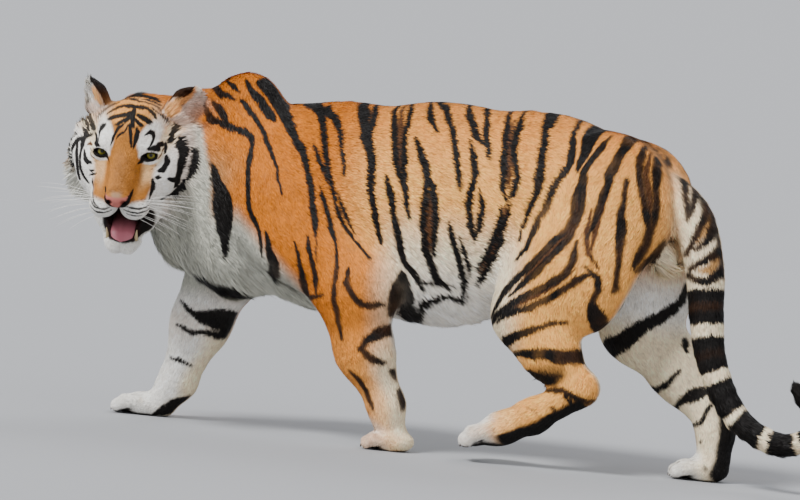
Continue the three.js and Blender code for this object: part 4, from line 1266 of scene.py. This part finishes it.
def opaque(text):
    """A colour for a shader's socket, which also wants an alpha."""
    return (*shade(text), 1)


skin_material = new_material("skin", grain=(420, 0.5, 0.002), own_colours=True, Roughness=0.7,
                             Specular_IOR_Level=0.15)
hair_material = new_material("hair", own_colours=True, Roughness=0.6, Specular_IOR_Level=0.2)


def halves(quads):
    """The two triangles of each quad."""
    return np.concatenate([quads[:, [0, 1, 2]], quads[:, [0, 2, 3]]])


def new_mesh(name, points, faces, material, normals=None, colours=None, bake_map=None):
    """A mesh from numpy arrays: points in metres, faces all with the same number of sides."""
    mesh = bpy.data.meshes.new(name)
    sides = faces.shape[1]
    mesh.vertices.add(len(points))
    mesh.vertices.foreach_set("co", points.astype(np.float32).ravel())
    mesh.loops.add(faces.size)
    mesh.loops.foreach_set("vertex_index", faces.astype(np.int32).ravel())
    mesh.polygons.add(len(faces))
    mesh.polygons.foreach_set("loop_start", np.arange(0, faces.size, sides, dtype=np.int32))
    mesh.polygons.foreach_set("use_smooth", np.ones(len(faces), bool))
    mesh.update(calc_edges=True)
    if colours is not None:
        layer = mesh.color_attributes.new("Col", "FLOAT_COLOR", "POINT")
        rgba = np.ones((len(points), 4), np.float32)
        rgba[:, :3] = colours
        layer.data.foreach_set("color", rgba.ravel())
    if bake_map is not None:
        layer = mesh.uv_layers.new(name="OFBake")
        layer.data.foreach_set("uv", bake_map[faces.ravel()].astype(np.float32).ravel())
    if normals is not None:
        mesh.normals_split_custom_set_from_vertices(normals.astype(np.float32))
    mesh.materials.append(material)
    piece = bpy.data.objects.new(name, mesh)
    bpy.context.scene.collection.objects.link(piece)
    return piece


skin = new_mesh("skin", to_frame(skin_points), skin_quads, skin_material, normals=skin_normals,
                colours=coat_colour(skin_points, skin_normals, skin_share))
FLESH = [name for name in frame["nodes"] if not name.startswith(("eye", "tongue", "tooth"))]
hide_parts(*FLESH)
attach(skin, "root")

# ------------------------------------------------------------------ the coat

# the coat's pieces, each made in a left and a right half, and the groups of each
PIECES = {
    "coat_head": ["head", *EARS],
    "coat_front": ["neck", *FORE],
    "coat_trunk": ["trunk"],
    "coat_rear": [*HIND, "tail"],
}
TUFT_NUMBER = 1.0     # how much of the full coat there is
random = np.random.default_rng(SEED)


def scatter(number):
    """Random places on the skin: for each, its three corners and their weights."""
    corners = halves(skin_quads)
    a, b, c = (skin_points[corners[:, n]] for n in range(3))
    area = np.linalg.norm(np.cross(b - a, c - a), axis=1) / 200     # in square centimetres
    wanted = area * number[corners].mean(1) * TUFT_NUMBER
    count = np.floor(wanted + random.random(len(wanted))).astype(int)
    chosen = np.repeat(np.arange(len(corners)), count)
    u, v = random.random((2, len(chosen)))
    over = u + v > 1
    u[over], v[over] = 1 - u[over], 1 - v[over]
    return corners[chosen], np.stack([1 - u - v, u, v], 1)


def spread(values):
    """The skin's values at the roots of the tufts."""
    picked = values[corners]
    if picked.ndim == 2:
        return (picked * weights).sum(1)
    return (picked * weights[:, :, None]).sum(1)


length, width, lift, number = coat_look(skin_points, skin_normals, skin_share)
beside = head_parts(skin_points)[1]
eye_gap = np.linalg.norm((beside - EYE - LOOK_OUT * LID_GAP) * vec(0.5, 1, 1.6), axis=1)
on_nose = bump(beside, vec(158, 0, -58), vec(34, 50, 34))
mouth_inside = in_mouth(head.to_local(skin_points)) * part_of(skin_share, "head")
bare = (eye_gap < 21) | (on_nose > 0.35) | (mouth_inside > 0.4)
bare |= skin_points[:, 2] < SOLE_LEVEL + 0.5
number[bare] = 0

corners, weights = scatter(number)
roots, tuft_share = spread(skin_points), spread(skin_share)
tuft_normals = unit(spread(skin_normals))
tuft_lie = spread(coat_lie(skin_points, skin_normals, skin_share))
length, width, lift = spread(length), spread(width), spread(lift)

# Each tuft is a blade of two triangles: it rises from its root to its widest place, and drops
# towards its tip.
BEND, DROP = 0.45, 0.4          # where along it the blade bends, and how much of its lift is left
sway = 0.22 * noise(roots, 24, 1) + 0.12 * noise(roots, 9, 2) + random.normal(0, 0.09, len(roots))
tuft_side = unit(np.cross(tuft_normals, tuft_lie))
way = unit(tuft_lie + sway[:, None] * tuft_side)
side = unit(np.cross(tuft_normals, way))
length *= 1 + 0.18 * noise(roots, 16, 3) + random.normal(0, 0.12, len(roots))
lift *= 1 + 0.5 * noise(roots, 20, 4) + random.normal(0, 0.25, len(roots))
rise = np.sin(lift)[:, None] * tuft_normals + np.cos(lift)[:, None] * way
drop = np.sin(DROP * lift)[:, None] * tuft_normals + np.cos(DROP * lift)[:, None] * way
middle = roots + rise * (BEND * length)[:, None]
tip = middle + drop * ((1 - BEND) * length)[:, None]
left = middle + side * (0.5 * width)[:, None]
right = middle - side * (0.5 * width)[:, None]
blades = np.stack([roots, left, right, tip], 1)
blades[:, :, 2] = np.maximum(blades[:, :, 2], FLOOR_FLAT + 0.1)

# a tuft takes the colour of the skin that it covers near its tip, and is darker at its root
ROOT_TO_TIP = vec(0.72, 1.0, 1.0, 1.1)
coloured_at = 0.35 * middle + 0.65 * tip - 0.8 * lift[:, None] * length[:, None] * tuft_normals
tuft_colours = coat_colour(coloured_at, tuft_normals, tuft_share)
tone = (1 + 0.12 * noise(roots, 13, 5) + 0.10 * noise(roots, 5, 6)
        + random.normal(0, 0.12, len(roots)))
tones = tone[:, None] * ROOT_TO_TIP
tuft_shades = np.clip(tuft_colours[:, None, :] * tones[:, :, None], 0, 1)
lean = unit(tuft_normals + 0.35 * side * random.normal(0, 1, (len(roots), 1)) - 0.15 * way)

group_of = tuft_share.argmax(1)


def unwrapped(points, group):
    """Each point's place on an unwrap of its group of the skin, about a pole or a path."""
    if group in ("head", *EARS):
        p = (head if group == "head" else ear_frames[group]).to_local(points)
        away = unit(p + vec(60, 0, 50) * (group == "head"))
        return np.stack([np.arctan2(away[:, 1], away[:, 0]) / (2 * math.pi) + 0.5,
                         np.arccos(away[:, 2]) / math.pi], 1)
    path = PATHS[group]
    path_length = sum(np.linalg.norm(b - a) for a, b in zip(path, path[1:]))
    nearest, place = nearest_on(points, path)
    if group == "trunk":
        round_it = np.arctan2(points[:, 1], points[:, 2] - np.mean(path, axis=0)[2])
    else:
        across = np.cross(along(points, path), vec(0, 1, 0))
        round_it = np.arctan2(points[:, 1] - nearest[:, 1], ((points - nearest) * across).sum(1))
    return np.stack([place / path_length, round_it / (2 * math.pi) + 0.5], 1)


def bake_places(points, groups, names):
    """Where each tuft of a piece lies on its bake map: its groups lie side by side."""
    place = np.zeros((len(points), 2))
    weights = np.array([(groups == GROUPS.index(g)).sum() for g in names], float)
    starts = np.concatenate([[0], np.cumsum(weights / weights.sum())])
    for n, g in enumerate(names):
        mine = groups == GROUPS.index(g)
        if not mine.any():
            continue
        uv = unwrapped(points[mine], g)
        low, high = uv.min(0), uv.max(0)
        uv = (uv - low) / np.maximum(high - low, 1e-6)
        place[mine] = vec(starts[n], 0) + uv * vec(starts[n + 1] - starts[n], 1)
    return 0.005 + 0.99 * place


# the small patch of the bake map that each tuft takes
PATCH = 0.0015 * np.array([[0, -1], [-1, 0], [1, 0], [0, 1]])

for piece_name, groups in PIECES.items():
    chosen = np.isin(group_of, [GROUPS.index(g) for g in groups])
    middle_y = np.median(roots[chosen, 1])
    for half_name, half in (("left", chosen & (roots[:, 1] < middle_y)),
                            ("right", chosen & (roots[:, 1] >= middle_y))):
        start = 4 * np.arange(half.sum())[:, None]
        faces = np.concatenate([start + [0, 2, 1], start + [1, 2, 3]])
        places = bake_places(roots[half], group_of[half], groups)
        coat = new_mesh(f"{piece_name}_{half_name}", to_frame(blades[half].reshape(-1, 3)), faces,
                        hair_material, normals=np.repeat(lean[half], 4, axis=0),
                        colours=tuft_shades[half].reshape(-1, 3),
                        bake_map=(places[:, None] + PATCH[None]).reshape(-1, 2))
        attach(coat, "root")

# ------------------------------------------------------------------ eyes


def skinned(rings, around, flip=False):
    """Triangles that join rings of points, one after another, and fill the first and the last."""
    row, column = np.meshgrid(np.arange(rings - 1), np.arange(around), indexing="ij")
    here, beyond = row * around + column, row * around + (column + 1) % around
    quads = np.stack([here, beyond, beyond + around, here + around], -1).reshape(-1, 4)
    fan = np.array([[0, n + 1, n + 2] for n in range(around - 2)])
    first, last = fan[:, ::-1], (rings - 1) * around + fan
    if flip:
        quads, first, last = quads[:, ::-1], first[:, ::-1], last[:, ::-1]
    return np.concatenate([halves(quads), first, last])


POLE_GAP = 0.02                 # radians between a pole of a ball and its first ring of points


def ball_mesh(rings=40, around=48):
    """A unit ball round its own x axis, as points and triangles."""
    polar = np.linspace(POLE_GAP, math.pi - POLE_GAP, rings)
    turn = np.linspace(0, 2 * math.pi, around, endpoint=False)
    t, a = np.meshgrid(polar, turn, indexing="ij")
    points = np.stack([np.cos(t), np.sin(t) * np.cos(a), np.sin(t) * np.sin(a)], -1)
    return points.reshape(-1, 3), skinned(rings, around, flip=True)


eye_material = new_material("eye", own_colours=True, Roughness=0.18, Specular_IOR_Level=0.25,
                            Coat_Weight=0.25, Coat_Roughness=0.03)
GAZE = unit(vec(1, 0.18, 0.42))         # both eyes look the same way, nearly level
IRIS, IRIS_RIM, SCLERA = shade("8a812c"), shade("1c1a0c"), shade("1c1310")

unit_points, faces = ball_mesh()
angle = np.degrees(np.arccos(np.clip(unit_points[:, 0], -1, 1)))      # from the way it looks
cornea = 1 + 0.07 * (1 - smooth_step(10, 40, angle))
eye_colours = np.tile(IRIS, (len(angle), 1)) * (0.75 + 0.5 * smooth_step(12, 34, angle))[:, None]
eye_colours = mixed(eye_colours, BLACK * 0.3, 1 - smooth_step(12, 14, angle))
# painted shade of the upper lid darkens the top of the eye
lid_shade = smooth_step(-0.1, 0.35, unit_points[:, 2])
eye_colours = layered(
    eye_colours * (1 - 0.6 * lid_shade)[:, None],
    (IRIS_RIM, smooth_step(29, 35, angle)),
    (SCLERA, smooth_step(36, 40, angle)))
for side_name, sign in SIDES:
    centre = to_frame(head.to_world(EYE * vec(1, sign, 1)))
    look = Frame(centre, head.direction(GAZE), UP)
    points = look.to_world(unit_points * cornea[:, None] * EYE_RADIUS * 0.97 * MM)
    eye = new_mesh(f"eyeball_{side_name}", points, faces, eye_material, colours=eye_colours)
    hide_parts(f"eye_{side_name}")
    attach(eye, "root")

# ------------------------------------------------------------------ tongue, teeth, claws, whiskers


def tapered_tubes(lines, sides):
    """Round tubes along rows of (point, radius), in one mesh of triangles, closed at each end."""
    points, faces = [], []
    turns = np.linspace(0, 2 * math.pi, sides, endpoint=False)
    for centres, radii in lines:
        ahead = unit(np.gradient(centres, axis=0))
        side = unit(np.cross(ahead, vec(0.13, 0.21, 0.97)))
        over = np.cross(ahead, side)
        rings = [centre + r * (np.cos(turns)[:, None] * s + np.sin(turns)[:, None] * o)
                 for centre, r, s, o in zip(centres, radii, side, over)]
        faces.append(sum(len(p) for p in points) + skinned(len(rings), sides))
        points.append(np.concatenate(rings))
    return np.concatenate(points), np.concatenate(faces)


def hooked(root, way, length, bend, radius, tip_radius, steps=7):
    """A tapering line from a root: it sets out along a way and bends towards another."""
    t = np.linspace(0, 1, steps)[:, None]
    centres = root + length * (t * way + 0.5 * t ** 2 * bend)
    return centres, radius + (tip_radius - radius) * t[:, 0] ** 1.2


tongue_material = new_material("tongue", grain=(900, 0.35, 0.001), own_colours=True,
                               Roughness=0.38)
# the tongue is a ball drawn out to a flat, grooved slab that bends down at its tip
unit_points, faces = ball_mesh(60, 48)
ahead_part, side_part, up_part = unit_points.T
plan = np.sign(ahead_part) * np.abs(ahead_part) ** 0.45
across = side_part * (1 + 0.12 * (1 - side_part ** 2) * smooth_step(0.2, 0.8, ahead_part))
groove = np.exp(-((across / 0.16) ** 2)) * (up_part > 0) * smooth_step(1.0, 0.7, ahead_part)
ahead_mm = 18 + 56 * plan
top_line = -164 - 0.33 * (ahead_mm + 20) - 8 * smooth_step(52, 74, ahead_mm)
tongue_local = np.stack([ahead_mm, 1 + 32 * across,
                         top_line - 8 + 8 * up_part - 2.5 * groove - 3 * across ** 2], 1)
PINK, TONGUE_ROOT_SHADE = shade("bd6c78"), shade("3c1c1c")
# the tongue darkens towards its root with painted shade
tongue_colours = mixed(np.tile(TONGUE_ROOT_SHADE, (len(tongue_local), 1)), PINK,
                       smooth_step(0, 62, tongue_local[:, 0]))
tongue = new_mesh("tongue_piece", to_frame(head.to_world(tongue_local)), faces, tongue_material,
                  colours=tongue_colours)
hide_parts("tongue")
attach(tongue, "root")

tooth_material = new_material("tooth", grain=(300, 0.15, 0.0005), Roughness=0.3,
                              Base_Color=opaque("c2ae84"))
for side_name, sign in SIDES:
    canine = hooked(vec(52, 37 * sign, -213), vec(0.3, 0.05 * sign, 0.93), 33,
                    vec(-0.3, 0.05 * sign, 0), 5.5, 1.2)
    points, faces = tapered_tubes([canine], 12)
    tooth = new_mesh(f"canine_{side_name}", to_frame(head.to_world(points)), faces,
                     tooth_material)
    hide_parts(f"tooth_{side_name}")
    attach(tooth, "root")

claw_material = new_material("claw", grain=(500, 0.1, 0.0003), Roughness=0.35,
                             Base_Color=opaque("4b4138"))
claws = []
for leg in LEGS.values():
    paw = paw_frame(leg)
    for place in TOES:
        root = vec(toe_reach(place) + 26, 1.02 * TOE_WIDTH * place, 15) * leg["paw"]
        centres, radii = hooked(root, vec(0.95, 0, -0.1), 13, vec(-0.5, 0, -1.0), 3.2, 0.6)
        claws.append((paw.to_world(centres), radii))
points, faces = tapered_tubes(claws, 8)
points[:, 2] = np.maximum(points[:, 2], SOLE_LEVEL)
claw_piece = new_mesh("claws", to_frame(points), faces, claw_material)
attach(claw_piece, "root")

whisker_material = new_material("whisker", Roughness=0.4, Base_Color=opaque("f4f1ea"))
WHISKER_ROWS, WHISKERS_IN_ROW = 4, 5
whiskers = []
for _, sign in SIDES:
    for row in range(WHISKER_ROWS):
        for place in range(WHISKERS_IN_ROW):
            root = vec(124 - 13 * place - 2 * row, sign * (50 + 4.5 * place), -80 - 8 * row)
            at = head.to_world(root)[None]
            root = root - head.axes.T @ (slope(at)[0] * (field(at)[0] + 2))
            chance = random.random(4)
            height = 0.10 - 0.12 * row + 0.16 * (chance[0] - 0.5)
            way = unit(vec(0.25 - 0.16 * place, sign, height))
            bend = vec(-0.25 - 0.3 * chance[1], 0, -0.35 - 0.35 * chance[2])
            whisker_length = 64 + 23 * place + 30 * chance[3]
            whiskers.append(hooked(root, way, whisker_length, bend, 0.55, 0.12))
points, faces = tapered_tubes(whiskers, 5)
whisker_piece = new_mesh("whiskers", to_frame(head.to_world(points)), faces, whisker_material)
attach(whisker_piece, "root")

# ------------------------------------------------------------------ stage

FLOOR_REACH = 40.0              # metres from the middle of the floor to its sides
floor_material = new_material("floor", Roughness=0.9, Base_Color=(0.333, 0.339, 0.352, 1))
floor_corners = [(x * FLOOR_REACH, y * FLOOR_REACH, 0)
                 for x, y in ((-1, -1), (1, -1), (1, 1), (-1, 1))]
floor_mesh = bpy.data.meshes.new("floor")
floor_mesh.from_pydata(floor_corners, [], [(0, 1, 2, 3)])
floor_mesh.materials.append(floor_material)
floor = bpy.data.objects.new("floor", floor_mesh)
bpy.context.scene.collection.objects.link(floor)

world = bpy.data.worlds.new("studio")
bpy.context.scene.world = world
world.use_nodes = True
background = world.node_tree.nodes["Background"]
background.inputs["Color"].default_value = (0.93, 0.95, 1.0, 1)
background.inputs["Strength"].default_value = 0.75


def add_sun(name, azimuth, elevation, strength, softness):
    """A soft, even light; azimuth 0 shines from the tiger's left, and 90 from behind it."""
    data = bpy.data.lights.new(name, "SUN")
    data.energy, data.angle = strength, math.radians(softness)
    light = bpy.data.objects.new(name, data)
    light.rotation_euler = (math.radians(90 - elevation), 0, math.radians(azimuth))
    bpy.context.scene.collection.objects.link(light)


add_sun("key", -30, 50, 4.1, 18)
add_sun("fill", 50, 25, 0.5, 60)
add_sun("rim", 170, 45, 0.8, 30)

# ------------------------------------------------------------------ camera

CAMERA_AZIMUTH, CAMERA_ELEVATION, CAMERA_ROLL = (math.radians(n) for n in (20, 1, 5))
CAMERA_DISTANCE = 7.0
FOCAL_LENGTH = 122.5
TARGET = to_frame(vec(40, 0, 509))
forward = vec(-math.sin(CAMERA_AZIMUTH) * math.cos(CAMERA_ELEVATION),
              math.cos(CAMERA_AZIMUTH) * math.cos(CAMERA_ELEVATION), -math.sin(CAMERA_ELEVATION))
level = vec(math.cos(CAMERA_AZIMUTH), math.sin(CAMERA_AZIMUTH), 0)
upright = np.cross(level, forward)
right_hand = math.cos(CAMERA_ROLL) * level + math.sin(CAMERA_ROLL) * upright
top = np.cross(right_hand, forward)
eye_point = TARGET - CAMERA_DISTANCE * forward
camera_data = bpy.data.cameras.new("camera")
camera_data.sensor_width, camera_data.lens = 36, FOCAL_LENGTH
camera_data.clip_start, camera_data.clip_end = 0.1, 100
camera = bpy.data.objects.new("camera", camera_data)
camera.matrix_world = Matrix([[right_hand[n], top[n], -forward[n], eye_point[n]]
                              for n in range(3)] + [[0, 0, 0, 1]])
bpy.context.scene.collection.objects.link(camera)
bpy.context.scene.camera = camera
